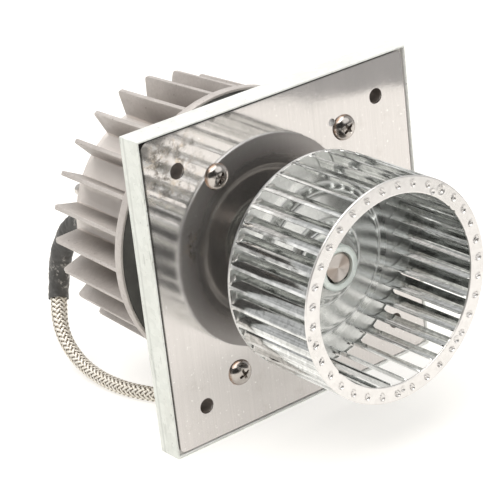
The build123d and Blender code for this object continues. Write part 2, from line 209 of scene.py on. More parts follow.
def galvanised(name, light, dark, rough=(0.22, 0.42), metal=0.95, spangle=320.0, streak=0.0, bump=0.00004, specks=0.62, dust=0.0, cloudy=0.75, flake=0.45, grooves=0.0, reach=(0.25, 0.95)):
    """Zinc-coated sheet: spangle, rolling streaks along the shaft direction, dark specks and faint dirt."""
    m = Mat(name, Metallic=metal)
    cell = m.cells(spangle)
    tone = m.split(cell)[0]
    cloud = m.noise(45.0, 4.0, 0.6)
    fine = m.noise(900.0, 2.0, 0.5)
    f = m.calc("ADD", m.calc("MULTIPLY", tone, flake), m.calc("MULTIPLY", cloud, cloudy))
    if streak:
        line = m.noise(1.0, 3.0, 0.6, vec=m.at(scale=(900.0, 18.0, 900.0)))
        f = m.calc("ADD", f, m.calc("MULTIPLY", m.calc("SUBTRACT", line, 0.5), streak))
    base = m.mix(m.span(f, reach[0], reach[1], 0.0, 1.0), dark, light)
    spot = m.span(m.noise(520.0, 3.0, 0.65), specks, specks + 0.05, 0.0, 0.75)
    base = m.mix(spot, base, rgb(dark[0] * 0.42, dark[1] * 0.42, dark[2] * 0.40))
    if dust:
        base = m.mix(m.span(m.noise(28.0, 5.0, 0.65), 0.48, 0.7, 0.0, dust), base, rgb(0.36, 0.30, 0.23))
    m.put("Base Color", base)
    r = m.span(m.calc("ADD", m.calc("MULTIPLY", fine, 0.5), m.calc("MULTIPLY", cloud, 0.6)), 0.3, 0.8, rough[0], rough[1])
    m.put("Roughness", r)
    h = m.calc("ADD", m.calc("MULTIPLY", m.noise(160.0, 3.0), 0.8), m.calc("MULTIPLY", fine, 0.12))
    fine_bump = m.bump(h, bump)
    if grooves:
        run = m.noise(1.0, 3.0, 0.55, vec=m.at(scale=(380.0, 5.0, 380.0), location=(4.0, 1.0, 2.0)))
        fine_bump = m.bump(run, grooves, under=fine_bump)
    m.put("Normal", fine_bump)
    return m


def make_materials():
    out = {}

    # folded pan
    out["galvanised_sheet"] = galvanised("galvanised_sheet", rgb(0.90, 0.915, 0.875), rgb(0.74, 0.76, 0.72), rough=(0.34, 0.50), metal=0.38, spangle=380.0,
                                         bump=0.00003, specks=0.655, dust=0.16)

    m = out["galvanised_sheet"]
    xyz = m.split(m.tc.outputs["Object"])
    rim = m.calc("MAXIMUM", m.calc("ABSOLUTE", xyz[0]), m.calc("ABSOLUTE", xyz[2]))
    # painted shade: the inner faces of the left and top lips are near-black (dark grey along the top) where the gap
    # round the plate lies in shade
    lip_gap_shade = m.calc("MULTIPLY", m.span(rim, 0.07405, 0.07415, 1.0, 0.0), m.span(xyz[1], -0.0005, -0.0001, 0.0, 1.0))
    lip_gap_shade = m.calc("MULTIPLY", lip_gap_shade, m.span(xyz[1], 0.0108, 0.0112, 1.0, 0.0))
    # painted light: the inner faces of the right and bottom lips are near-white and not metallic so the gap there reads
    # as lit
    shown = m.calc("MAXIMUM", m.span(xyz[0], 0.0732, 0.0736, 0.0, 1.0), m.span(xyz[2], -0.0736, -0.0732, 1.0, 0.0))
    lip_gap_painted_light = m.calc("MULTIPLY", m.calc("MULTIPLY", m.span(rim, 0.07405, 0.07415, 1.0, 0.0), m.span(xyz[1], 0.0108, 0.0112, 1.0, 0.0)), shown)
    lip_gap_shade = m.calc("MULTIPLY", lip_gap_shade, m.calc("SUBTRACT", 1.0, shown))
    wall = m.b.inputs["Base Color"].links[0].from_socket
    rubbed = m.noise(1.0, 4.0, 0.7, vec=m.at(scale=(420.0, 420.0, 60.0)))
    rubbed = m.calc("MULTIPLY", m.span(rubbed, 0.58, 0.66, 0.0, 0.75), m.span(m.noise(70.0, 2.0), 0.42, 0.55, 0.0, 1.0))
    left = m.span(xyz[0], -0.0749, -0.0745, 1.0, 0.0)
    rubbed = m.calc("MULTIPLY", rubbed, m.calc("ADD", m.calc("MULTIPLY", left, 0.8), 0.2))
    wall = m.mix(rubbed, wall, rgb(0.36, 0.37, 0.34))
    fold = m.span(m.calc("ABSOLUTE", m.calc("SUBTRACT", xyz[1], 0.0092)), 0.0002, 0.0010, 0.5, 0.0, True)
    wall = m.mix(m.calc("MULTIPLY", fold, left), wall, rgb(0.50, 0.51, 0.48))
    # painted shade and painted light: the left wall is darkened and the top wall lifted towards white, as the light
    # falls from above
    wall = m.mix(m.calc("MULTIPLY", left, 0.30), wall, rgb(0.50, 0.53, 0.48))
    wall = m.mix(m.span(xyz[2], 0.0745, 0.0749, 0.0, 0.35), wall, rgb(0.97, 0.975, 0.955))
    m.put("Base Color", m.mix(lip_gap_painted_light, wall, rgb(0.97, 0.975, 0.95)))
    # painted shade in the gap round the plate
    m.put("Base Color", m.mix(lip_gap_shade, m.b.inputs["Base Color"].links[0].from_socket, m.mix(m.span(xyz[2], 0.0732, 0.0738, 0.0, 1.0), rgb(0.02, 0.019, 0.017), rgb(0.20, 0.19, 0.175))))
    old = m.b.inputs["Metallic"].default_value
    m.put("Metallic", m.calc("MULTIPLY", m.calc("SUBTRACT", 1.0, m.calc("MAXIMUM", lip_gap_shade, lip_gap_painted_light)), old))

    # polished stainless plate with heat tint, smudges and scratches
    m = Mat("stainless_sheet", Metallic=0.90)
    big = m.noise(14.0, 4.0, 0.6)
    base = m.mix(m.span(big, 0.3, 0.7, 0.0, 1.0), rgb(0.72, 0.69, 0.668), rgb(0.68, 0.65, 0.628))
    xyz = m.split(m.tc.outputs["Object"])

    def near(x, z, r0, r1):
        d = m.calc("SQRT", m.calc("ADD", m.calc("POWER", m.calc("SUBTRACT", xyz[0], x), 2.0), m.calc("POWER", m.calc("SUBTRACT", xyz[2], z), 2.0)))
        return m.span(d, r0, r1, 1.0, 0.0, True)

    blot = m.calc("MULTIPLY", m.span(m.noise(230.0, 4.0, 0.7), 0.46, 0.58, 0.0, 1.0), m.span(m.noise(760.0, 3.0), 0.36, 0.56, 0.35, 1.0))
    tint = m.calc("MULTIPLY", m.calc("MAXIMUM", near(-0.060, 0.058, 0.004, 0.026), near(-0.052, 0.020, 0.001, 0.012)), blot)
    hot = m.mix(m.span(m.noise(150.0, 3.0), 0.47, 0.60, 0.0, 1.0), rgb(0.15, 0.122, 0.092), rgb(0.86, 0.73, 0.58))
    base = m.mix(m.calc("MULTIPLY", tint, 0.85), base, hot)
    scorch = None
    for x, z, r0 in ((-0.0600, 0.0658, 0.0042), (-0.0552, 0.0633, 0.0034), (-0.0656, 0.0613, 0.0042), (-0.0627, 0.0603, 0.0048),
                     (-0.0682, 0.0534, 0.0034), (-0.0629, 0.0480, 0.0038), (-0.0468, 0.0663, 0.0024), (-0.0670, 0.0660, 0.0036)):
        one = near(x, z, 0.0004, r0)
        scorch = one if scorch is None else m.calc("MAXIMUM", scorch, one)
    scorch = m.calc("MULTIPLY", scorch, m.span(m.noise(520.0, 4.0, 0.7), 0.36, 0.58, 0.15, 1.0))
    base = m.mix(m.calc("MULTIPLY", scorch, 0.88), base, rgb(0.12, 0.103, 0.08))
    brushed = m.noise(1.0, 2.0, 0.6, vec=m.at(scale=(1400.0, 1400.0, 12.0), rotation=(0, 0.12, 0), location=(5, 2, 7)))
    base = m.mix(m.span(brushed, 0.35, 0.70, 0.0, 0.22), base, rgb(0.50, 0.475, 0.455))
    grime = m.span(m.noise(60.0, 5.0, 0.7), 0.57, 0.76, 0.0, 0.30)
    base = m.mix(grime, base, rgb(0.42, 0.375, 0.33))
    pits = m.span(m.noise(620.0, 2.0, 0.6), 0.655, 0.69, 0.0, 0.75)
    base = m.mix(pits, base, rgb(0.88, 0.87, 0.85))
    s1 = m.noise(1.0, 2.0, 0.5, vec=m.at(scale=(1500.0, 1500.0, 26.0), rotation=(0, 0.6, 0)))
    s2 = m.noise(1.0, 2.0, 0.5, vec=m.at(scale=(1700.0, 1700.0, 20.0), rotation=(0, -0.9, 0), location=(3, 1, 2)))
    scr = m.calc("MAXIMUM", m.span(s1, 0.70, 0.74, 0.0, 1.0), m.span(s2, 0.71, 0.75, 0.0, 1.0))
    gate = m.span(m.noise(22.0, 2.0), 0.52, 0.60, 0.0, 1.0)
    scr = m.calc("MULTIPLY", scr, gate)
    base = m.mix(m.calc("MULTIPLY", scr, 0.35), base, rgb(0.55, 0.52, 0.49))
    # painted shadow: a dark strip along the plate's left and top edges, where the pan lip shades it
    painted_edge_shadow = m.calc("MAXIMUM", m.span(xyz[0], -0.0729, -0.0725, 1.0, 0.0), m.span(xyz[2], 0.0727, 0.0731, 0.0, 0.55))
    base = m.mix(m.calc("MULTIPLY", painted_edge_shadow, 0.85), base, rgb(0.06, 0.056, 0.05))
    m.put("Base Color", base)
    r = m.calc("ADD", m.span(m.noise(35.0, 4.0, 0.6), 0.3, 0.75, 0.045, 0.10), m.calc("MULTIPLY", scr, 0.15))
    r = m.calc("ADD", r, m.calc("MULTIPLY", tint, 0.12))
    r = m.calc("ADD", r, m.calc("MULTIPLY", near(-0.068, 0.002, 0.012, 0.050), 0.07))
    m.put("Roughness", r)
    wave = m.noise(22.0, 1.0, 0.5)
    m.put("Normal", m.bump(m.calc("ADD", wave, m.calc("MULTIPLY", m.noise(400.0, 2.0), 0.02)), 0.00022))
    out["stainless_sheet"] = m

    # sand-cast aluminium
    m = Mat("cast_aluminium", Metallic=0.30)
    f = m.calc("ADD", m.calc("MULTIPLY", m.noise(40.0, 5.0, 0.6), 0.7), m.calc("MULTIPLY", m.noise(700.0, 3.0, 0.6), 0.4))
    base = m.mix(m.span(f, 0.35, 0.75, 0.0, 1.0), rgb(0.43, 0.395, 0.37), rgb(0.585, 0.545, 0.515))
    pore = m.span(m.noise(420.0, 3.0, 0.7), 0.66, 0.71, 0.0, 0.6)
    base = m.mix(pore, base, rgb(0.20, 0.17, 0.14))
    xyz = m.split(m.tc.outputs["Object"])
    rad = m.calc("SQRT", m.calc("ADD", m.calc("POWER", xyz[0], 2.0), m.calc("POWER", xyz[2], 2.0)))
    rad = m.calc("ADD", rad, m.calc("MULTIPLY", m.calc("SUBTRACT", m.noise(50.0, 2.0), 0.5), 0.004))
    # painted shade: the fin faces darken towards the barrel and the front flange, where the fins shade each other
    root = m.calc("MULTIPLY", m.span(rad, 0.0520, 0.0622, 1.0, 0.0, True), m.span(xyz[1], 0.0455, 0.0460, 0.0, 1.0))
    painted_fin_shade = m.calc("MULTIPLY", root, m.span(xyz[1], 0.050, 0.094, 0.95, 0.25, True))
    painted_drum_light = m.calc("MULTIPLY", m.span(rad, 0.0490, 0.0500, 1.0, 0.0), m.span(xyz[1], 0.0470, 0.0500, 0.0, 1.0))
    painted_fin_shade = m.calc("MULTIPLY", painted_fin_shade, m.calc("SUBTRACT", 1.0, painted_drum_light))
    base = m.mix(painted_fin_shade, base, rgb(0.135, 0.118, 0.108))
    # painted light: the barrel between the fins is lifted to a light tone
    base = m.mix(m.calc("MULTIPLY", painted_drum_light, 0.8), base, rgb(0.76, 0.71, 0.67))
    m.put("Base Color", base)
    m.put("Roughness", m.span(m.noise(300.0, 3.0), 0.3, 0.7, 0.42, 0.60))
    h = m.calc("ADD", m.noise(1500.0, 3.0, 0.6), m.calc("MULTIPLY", m.noise(260.0, 3.0, 0.6), 1.2))
    h = m.calc("SUBTRACT", h, m.calc("MULTIPLY", pore, 1.5))
    m.put("Normal", m.bump(h, 0.00006))
    out["cast_aluminium"] = m

    # dark painted shield
    m = Mat("dark_shield", Metallic=0.2)
    f = m.noise(90.0, 4.0, 0.6)
    m.put("Base Color", m.mix(m.span(f, 0.3, 0.75, 0.0, 1.0), rgb(0.078, 0.076, 0.071), rgb(0.125, 0.122, 0.115)))
    m.put("Roughness", m.span(m.noise(500.0, 2.0), 0.3, 0.7, 0.42, 0.62))
    m.put("Normal", m.bump(m.noise(900.0, 3.0), 0.00004))
    out["dark_shield"] = m

    def steel(name, light, dark, rough, scale=120.0, metal=1.0, bump=0.00001, fine=1200.0, **uniform):
        m = Mat(name, Metallic=metal, **uniform)
        f = m.noise(scale, 4.0, 0.6)
        base = m.mix(m.span(f, 0.3, 0.72, 0.0, 1.0), dark, light)
        spot = m.span(m.noise(fine, 2.0, 0.6), 0.64, 0.70, 0.0, 0.5)
        base = m.mix(spot, base, rgb(dark[0] * 0.5, dark[1] * 0.45, dark[2] * 0.4))
        m.put("Base Color", base)
        m.put("Roughness", m.span(m.noise(scale * 3, 3.0), 0.3, 0.7, rough[0], rough[1]))
        m.put("Normal", m.bump(m.noise(fine, 2.0), bump))
        return m

    out["plain_steel"] = steel("plain_steel", rgb(0.60, 0.58, 0.55), rgb(0.42, 0.40, 0.37), (0.30, 0.45))
    out["core_steel"] = steel("core_steel", rgb(0.42, 0.41, 0.40), rgb(0.26, 0.25, 0.25), (0.35, 0.5))
    out["bearing_steel"] = steel("bearing_steel", rgb(0.72, 0.72, 0.72), rgb(0.62, 0.62, 0.62), (0.08, 0.16))
    out["black_steel"] = steel("black_steel", rgb(0.07, 0.068, 0.066), rgb(0.03, 0.03, 0.03), (0.28, 0.4))
    out["brass"] = steel("brass", rgb(0.80, 0.60, 0.28), rgb(0.62, 0.45, 0.20), (0.18, 0.32))
    out["screw_steel"] = steel("screw_steel", rgb(0.74, 0.71, 0.68), rgb(0.58, 0.55, 0.51), (0.12, 0.24))

    # winding wire: enamelled copper
    m = Mat("winding_wire", Metallic=0.6)
    turns = m.noise(1.0, 2.0, 0.5, vec=m.at(scale=(300.0, 2200.0, 300.0)))
    m.put("Base Color", m.mix(m.span(turns, 0.3, 0.7, 0.0, 1.0), rgb(0.30, 0.09, 0.035), rgb(0.62, 0.26, 0.10)))
    m.put("Roughness", m.span(m.noise(300.0), 0.3, 0.7, 0.3, 0.45))
    m.put("Normal", m.bump(turns, 0.0002))
    out["winding_wire"] = m

    # mineral fibre board
    m = Mat("mineral_board")
    f = m.calc("ADD", m.calc("MULTIPLY", m.noise(220.0, 5.0, 0.7), 0.7), m.calc("MULTIPLY", m.noise(1600.0, 2.0), 0.3))
    m.put("Base Color", m.mix(m.span(f, 0.3, 0.7, 0.0, 1.0), rgb(0.66, 0.64, 0.60), rgb(0.88, 0.87, 0.84)))
    xyz = m.split(m.tc.outputs["Object"])
    rim = m.calc("MAXIMUM", m.calc("ABSOLUTE", xyz[0]), m.calc("ABSOLUTE", xyz[2]))
    col = m.mix(m.span(f, 0.3, 0.7, 0.0, 1.0), rgb(0.66, 0.64, 0.60), rgb(0.88, 0.87, 0.84))
    # painted shade: the board's edge, seen through the gap round the plate, is near-black except on the right and
    # bottom
    shown = m.calc("MAXIMUM", m.span(xyz[0], 0.0690, 0.0695, 0.0, 0.95), m.span(xyz[2], -0.0695, -0.0690, 0.95, 0.0))
    painted_gap_shade = m.calc("MULTIPLY", m.span(rim, 0.0695, 0.0705, 0.0, 1.0), m.calc("SUBTRACT", 1.0, shown))
    # painted light: the board is near-white behind the vent hole so the hole reads as lit
    vent = m.calc("SQRT", m.calc("ADD", m.calc("POWER", m.calc("SUBTRACT", xyz[0], 0.0296), 2.0), m.calc("POWER", m.calc("SUBTRACT", xyz[2], 0.0514), 2.0)))
    col = m.mix(m.span(vent, 0.0020, 0.0030, 1.0, 0.0), col, rgb(0.97, 0.97, 0.96))
    m.put("Base Color", m.mix(painted_gap_shade, col, rgb(0.018, 0.017, 0.015)))
    m.put("Roughness", m.span(f, 0.3, 0.7, 0.85, 0.97))
    m.put("Normal", m.bump(f, 0.0004))
    out["mineral_board"] = m

    # rubber, shrink tube, plastics
    def plastic(name, light, dark, rough, grain=700.0, bump=0.00003, **uniform):
        m = Mat(name, **uniform)
        f = m.noise(70.0, 4.0, 0.6)
        m.put("Base Color", m.mix(m.span(f, 0.3, 0.72, 0.0, 1.0), dark, light))
        m.put("Roughness", m.span(m.noise(grain, 3.0), 0.3, 0.7, rough[0], rough[1]))
        m.put("Normal", m.bump(m.noise(grain, 3.0, 0.6), bump))
        return m

    out["black_rubber"] = plastic("black_rubber", rgb(0.045, 0.043, 0.041), rgb(0.022, 0.021, 0.020), (0.5, 0.7))
    out["black_plastic"] = plastic("black_plastic", rgb(0.032, 0.032, 0.033), rgb(0.018, 0.018, 0.019), (0.34, 0.5))
    out["connector_plastic"] = plastic("connector_plastic", rgb(0.80, 0.78, 0.72), rgb(0.70, 0.68, 0.62), (0.36, 0.5), Subsurface_Weight=0.08, Subsurface_Scale=0.002)

    m = Mat("shrink_sleeve")
    f = m.noise(120.0, 5.0, 0.65)
    base = m.mix(m.span(f, 0.3, 0.75, 0.0, 1.0), rgb(0.040, 0.0385, 0.036), rgb(0.100, 0.097, 0.092))
    rub = m.calc("MULTIPLY", m.span(m.noise(380.0, 4.0, 0.7), 0.52, 0.64, 0.0, 1.0), m.span(m.noise(60.0, 2.0), 0.47, 0.6, 0.0, 1.0))
    base = m.mix(m.calc("MULTIPLY", rub, 0.8), base, rgb(0.50, 0.475, 0.44))
    m.put("Base Color", base)
    m.put("Roughness", m.span(m.noise(500.0, 3.0), 0.3, 0.7, 0.34, 0.56))
    h = m.calc("ADD", m.calc("MULTIPLY", m.noise(450.0, 4.0, 0.6), 1.0), m.calc("MULTIPLY", m.noise(2200.0, 2.0), 0.15))
    m.put("Normal", m.bump(h, 0.00012))
    out["shrink_sleeve"] = m

    # tinned wire braid: the wires of each strand run along it (uv across and along)
    m = Mat("metal_braid", Metallic=0.50)
    uv = m.node("UVMap", uv_map="UVMap").outputs[0]
    u = m.split(uv)[0]
    wire = m.calc("ABSOLUTE", m.calc("SINE", m.calc("MULTIPLY", u, math.pi * 6.0)))
    tone = m.noise(260.0, 4.0, 0.6)
    edge = m.span(m.calc("ABSOLUTE", m.calc("SUBTRACT", u, 0.5)), 0.25, 0.5, 0.0, 1.0)
    base = m.mix(m.span(tone, 0.3, 0.7, 0.0, 1.0), rgb(0.90, 0.85, 0.745), rgb(0.97, 0.945, 0.88))
    # painted shade: darker brown between the wires, at each strand's edges and where a strand passes under the other
    base = m.mix(m.span(wire, 0.0, 0.5, 0.18, 0.0), base, rgb(0.42, 0.34, 0.25))
    base = m.mix(m.calc("MULTIPLY", edge, 0.75), base, rgb(0.25, 0.185, 0.12))
    dip_shade = m.attr("dip_shade")
    base = m.mix(m.calc("POWER", dip_shade, 1.4), base, rgb(0.27, 0.20, 0.13))
    m.put("Base Color", base)
    m.put("Roughness", m.span(tone, 0.3, 0.7, 0.30, 0.46))
    m.put("Normal", m.bump(wire, 0.00003))
    out["metal_braid"] = m
    m = Mat("lead_core")
    f = m.noise(400.0, 4.0, 0.6)
    m.put("Base Color", m.mix(m.span(f, 0.3, 0.7, 0.0, 1.0), rgb(0.055, 0.04, 0.028), rgb(0.11, 0.085, 0.06)))
    m.put("Roughness", m.span(f, 0.3, 0.7, 0.55, 0.75))
    m.put("Normal", m.bump(f, 0.00008))
    out["lead_core"] = m

    # turned shaft end
    m = Mat("shaft_steel", Metallic=1.0, Anisotropic=0.94, Anisotropic_Rotation=0.25)
    tan = m.node("Tangent", direction_type="RADIAL", axis="Y")
    xyz = m.split(m.tc.outputs["Object"])
    rad = m.calc("SQRT", m.calc("ADD", m.calc("POWER", xyz[0], 2.0), m.calc("POWER", xyz[2], 2.0)))
    turn = m.noise(1.0, 2.0, 0.6, vec=m.node("CombineXYZ").outputs[0])
    comb = m.t.nodes[-1]
    comb = [n for n in m.t.nodes if n.bl_idname == "ShaderNodeCombineXYZ"][0]
    m.feed(comb.inputs[0], m.calc("MULTIPLY", rad, 2600.0))
    base = m.mix(m.span(turn, 0.3, 0.7, 0.0, 1.0), rgb(0.74, 0.68, 0.635), rgb(0.82, 0.765, 0.725))
    # painted highlight: light and dark sectors round the shaft end stand in for the turned face's wedge-shaped
    # reflection
    way = m.calc("ARCTAN2", xyz[2], xyz[0])
    painted_wedge_highlight = m.calc("COSINE", m.calc("MULTIPLY", m.calc("SUBTRACT", way, 2.0), 2.0))
    painted_wedge_highlight = m.calc("ADD", painted_wedge_highlight, m.calc("MULTIPLY", m.calc("COSINE", m.calc("MULTIPLY", way, 5.0)), 0.35))
    base = m.mix(m.span(painted_wedge_highlight, -1.1, 0.9, 0.9, 0.0, True), base, rgb(0.36, 0.30, 0.26))
    m.put("Base Color", base)
    m.put("Roughness", m.span(m.noise(400.0, 3.0), 0.3, 0.7, 0.32, 0.40))
    m.t.links.new(tan.outputs[0], m.b.inputs["Tangent"])
    m.put("Normal", m.bump(turn, 0.000004))
    out["shaft_steel"] = m

    m = Mat("bolt_sleeve", Metallic=0.3)
    f = m.noise(200.0, 3.0)
    m.put("Base Color", m.mix(m.span(f, 0.3, 0.7, 0.0, 1.0), rgb(0.20, 0.17, 0.15), rgb(0.31, 0.27, 0.24)))
    m.put("Roughness", m.span(f, 0.3, 0.7, 0.55, 0.7))
    out["bolt_sleeve"] = m
    out["zinc_hub"] = galvanised("zinc_hub", rgb(0.86, 0.92, 0.885), rgb(0.74, 0.80, 0.765), rough=(0.30, 0.42), metal=0.55, spangle=900.0, bump=0.00002, specks=0.72)
    out["wheel_sheet"] = galvanised("wheel_sheet", rgb(0.95, 0.96, 0.945), rgb(0.45, 0.458, 0.448), rough=(0.06, 0.15), metal=1.0, spangle=620.0, streak=1.0,
                                    bump=0.000007, specks=0.72, cloudy=0.24, flake=0.20, grooves=0.00013, reach=(0.03, 0.56))
    m = out["wheel_sheet"]
    xyz = m.split(m.tc.outputs["Object"])
    rad = m.calc("SQRT", m.calc("ADD", m.calc("POWER", xyz[0], 2.0), m.calc("POWER", xyz[2], 2.0)))
    # the blades' cut edges are near-white and less metallic: partly the bare cut edge, partly a painted highlight line
    cut = m.calc("MAXIMUM", m.span(rad, 0.04966, 0.04990, 0.0, 1.0), m.span(rad, 0.04304, 0.04320, 1.0, 0.0))
    cut = m.calc("MULTIPLY", cut, m.span(m.noise(90.0, 3.0), 0.34, 0.62, 0.15, 0.80))
    m.put("Base Color", m.mix(cut, m.b.inputs["Base Color"].links[0].from_socket, rgb(0.97, 0.975, 0.955)))
    m.put("Metallic", m.calc("SUBTRACT", 1.0, m.calc("MULTIPLY", cut, 0.75)))
    out["wheel_disc"] = galvanised("wheel_disc", rgb(0.80, 0.81, 0.795), rgb(0.62, 0.63, 0.615), rough=(0.17, 0.24), metal=0.92, spangle=700.0, bump=0.00001, specks=0.74, cloudy=0.4, flake=0.3)
    m = out["wheel_disc"]
    xyz = m.split(m.tc.outputs["Object"])
    rad = m.calc("SQRT", m.calc("ADD", m.calc("POWER", xyz[0], 2.0), m.calc("POWER", xyz[2], 2.0)))
    # painted highlight: near-white, less metallic arcs at three radii on the front of the disc, where the beads catch
    # the light
    line = None
    for r0, half in ((0.0354, 0.0015), (0.0196, 0.0014), (0.0326, 0.0007)):
        one = m.span(m.calc("ABSOLUTE", m.calc("SUBTRACT", rad, r0)), 0.0, half, 1.0, 0.0, True)
        line = one if line is None else m.calc("MAXIMUM", line, one)
    back = m.span(m.split(m.tc.outputs["Normal"])[1], 0.0, 0.25, 0.0, 1.0)
    line = m.calc("MULTIPLY", line, m.span(m.noise(120.0, 3.0), 0.30, 0.60, 0.55, 1.0))
    line = m.calc("MULTIPLY", line, m.calc("SUBTRACT", 1.0, back))
    m.put("Base Color", m.mix(line, m.b.inputs["Base Color"].links[0].from_socket, rgb(0.97, 0.985, 0.97)))
    m.put("Metallic", m.calc("SUBTRACT", 0.92, m.calc("MULTIPLY", line, 0.75)))
    # painted shade and painted light on the disc's back: dark towards the middle, light towards the rim
    m.put("Base Color", m.mix(m.calc("MULTIPLY", back, 0.92), m.b.inputs["Base Color"].links[0].from_socket, m.mix(m.span(rad, 0.0365, 0.0475, 0.0, 1.0), rgb(0.27, 0.262, 0.25), rgb(0.68, 0.695, 0.72))))
    outer = m.span(m.calc("ADD", rad, m.calc("MULTIPLY", m.calc("SUBTRACT", m.noise(90.0, 2.0), 0.5), 0.003)), 0.0385, 0.0415, 0.0, 0.17, True)
    m.put("Roughness", m.calc("ADD", m.b.inputs["Roughness"].links[0].from_socket, outer))
    out["wheel_ring"] = galvanised("wheel_ring", rgb(0.87, 0.85, 0.83), rgb(0.72, 0.70, 0.68), rough=(0.24, 0.36), metal=0.90, spangle=520.0, bump=0.00002, specks=0.74, dust=0.06, flake=0.25)
    return out


M = make_materials()


def give(node, key):
    o = frame["nodes"][node]
    for s in o.material_slots:
        s.material = M[key].m
    if not o.material_slots:
        o.data.materials.append(M[key].m)


NODE_SLOT = {s["node"]: s["material_slot"] for s in frame["record"]["subparts"]}
for node, slot_name in NODE_SLOT.items():
    give(node, slot_name)
give("wheel_back_disc", "wheel_disc")
give("corner_sleeves", "bolt_sleeve")
give("rear_end_shield", "cast_aluminium")
for bushing in ("screw_sleeves", "motor_spacers", "motor_nuts"):
    give(bushing, "plain_steel")


def soften(node, width, angle=32.0, segments=2):
    """Rounds the edges of a piece of the model: its mesh stays, a weld and a bevel follow it."""
    o = frame["nodes"][node]
    w = o.modifiers.new("weld", "WELD")
    w.merge_threshold = 1e-6
    d = o.modifiers.new("flat", "DECIMATE")
    d.decimate_type = "DISSOLVE"
    d.angle_limit = math.radians(0.4)
    b = o.modifiers.new("edge", "BEVEL")
    b.limit_method = "ANGLE"
    b.angle_limit = math.radians(angle)
    b.width = width * MM
    b.segments = segments
    b.use_clamp_overlap = False
    b.harden_normals = False
    return o


soften("mounting_pan", 0.45)
soften("motor_housing", 0.4)
soften("wheel_hub", 0.4)
soften("face_plate", 0.12)
soften("connector_housing", 0.3)
soften("coil_tie", 0.2)


def piece(name, verts, faces, key, body, replaces=(), smooth=True, angle=35.0, uvs=None, attrs=None):
    me = bpy.data.meshes.new(name)
    me.from_pydata([tuple(v) for v in verts], [], faces)
    if uvs is not None:
        layer = me.uv_layers.new(name="UVMap")
        idx = np.zeros(len(me.loops), np.int32)
        me.loops.foreach_get("vertex_index", idx)
        layer.data.foreach_set("uv", np.asarray(uvs, np.float32)[idx].ravel())
    for k, v in (attrs or {}).items():
        a = me.attributes.new(k, "FLOAT", "POINT")
        a.data.foreach_set("value", np.asarray(v, np.float32))
    me.update()
    o = bpy.data.objects.new(name, me)
    scene.collection.objects.link(o)
    me.materials.append(M[key].m)
    me.polygons.foreach_set("use_smooth", [smooth] * len(me.polygons))
    if smooth and angle:
        sharpen(me, angle)
    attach(o, body)
    if replaces:
        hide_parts(*replaces)
    return o


def sharpen(me, angle):
    """Marks the edges that turn by more than the angle as sharp."""
    bm = bmesh.new()
    bm.from_mesh(me)
    lim = math.radians(angle)
    for e in bm.edges:
        e.smooth = not (len(e.link_faces) != 2 or e.calc_face_angle(0.0) > lim)
    bm.to_mesh(me)
    bm.free()


def revolve_pts(profile, n, x=0.0, y=0.0, close=False, a0=0.0):
    """Grid of a revolved profile (r, w) about the axis through (x, y)."""
    verts, faces = [], []
    k = len(profile)
    for i in range(n):
        a = a0 + 2 * math.pi * i / n
        for r, w in profile:
            verts.append(loc(x + r * math.cos(a), y + r * math.sin(a), w))
    for i in range(n):
        j = (i + 1) % n
        for q in range(k if close else k - 1):
            p = (q + 1) % k
            faces.append((i * k + q, j * k + q, j * k + p, i * k + p))
    return verts, faces


def merge(*parts):
    verts, faces = [], []
    for v, f in parts:
        b = len(verts)
        verts += list(v)
        faces += [tuple(i + b for i in q) for q in f]
    return verts, faces


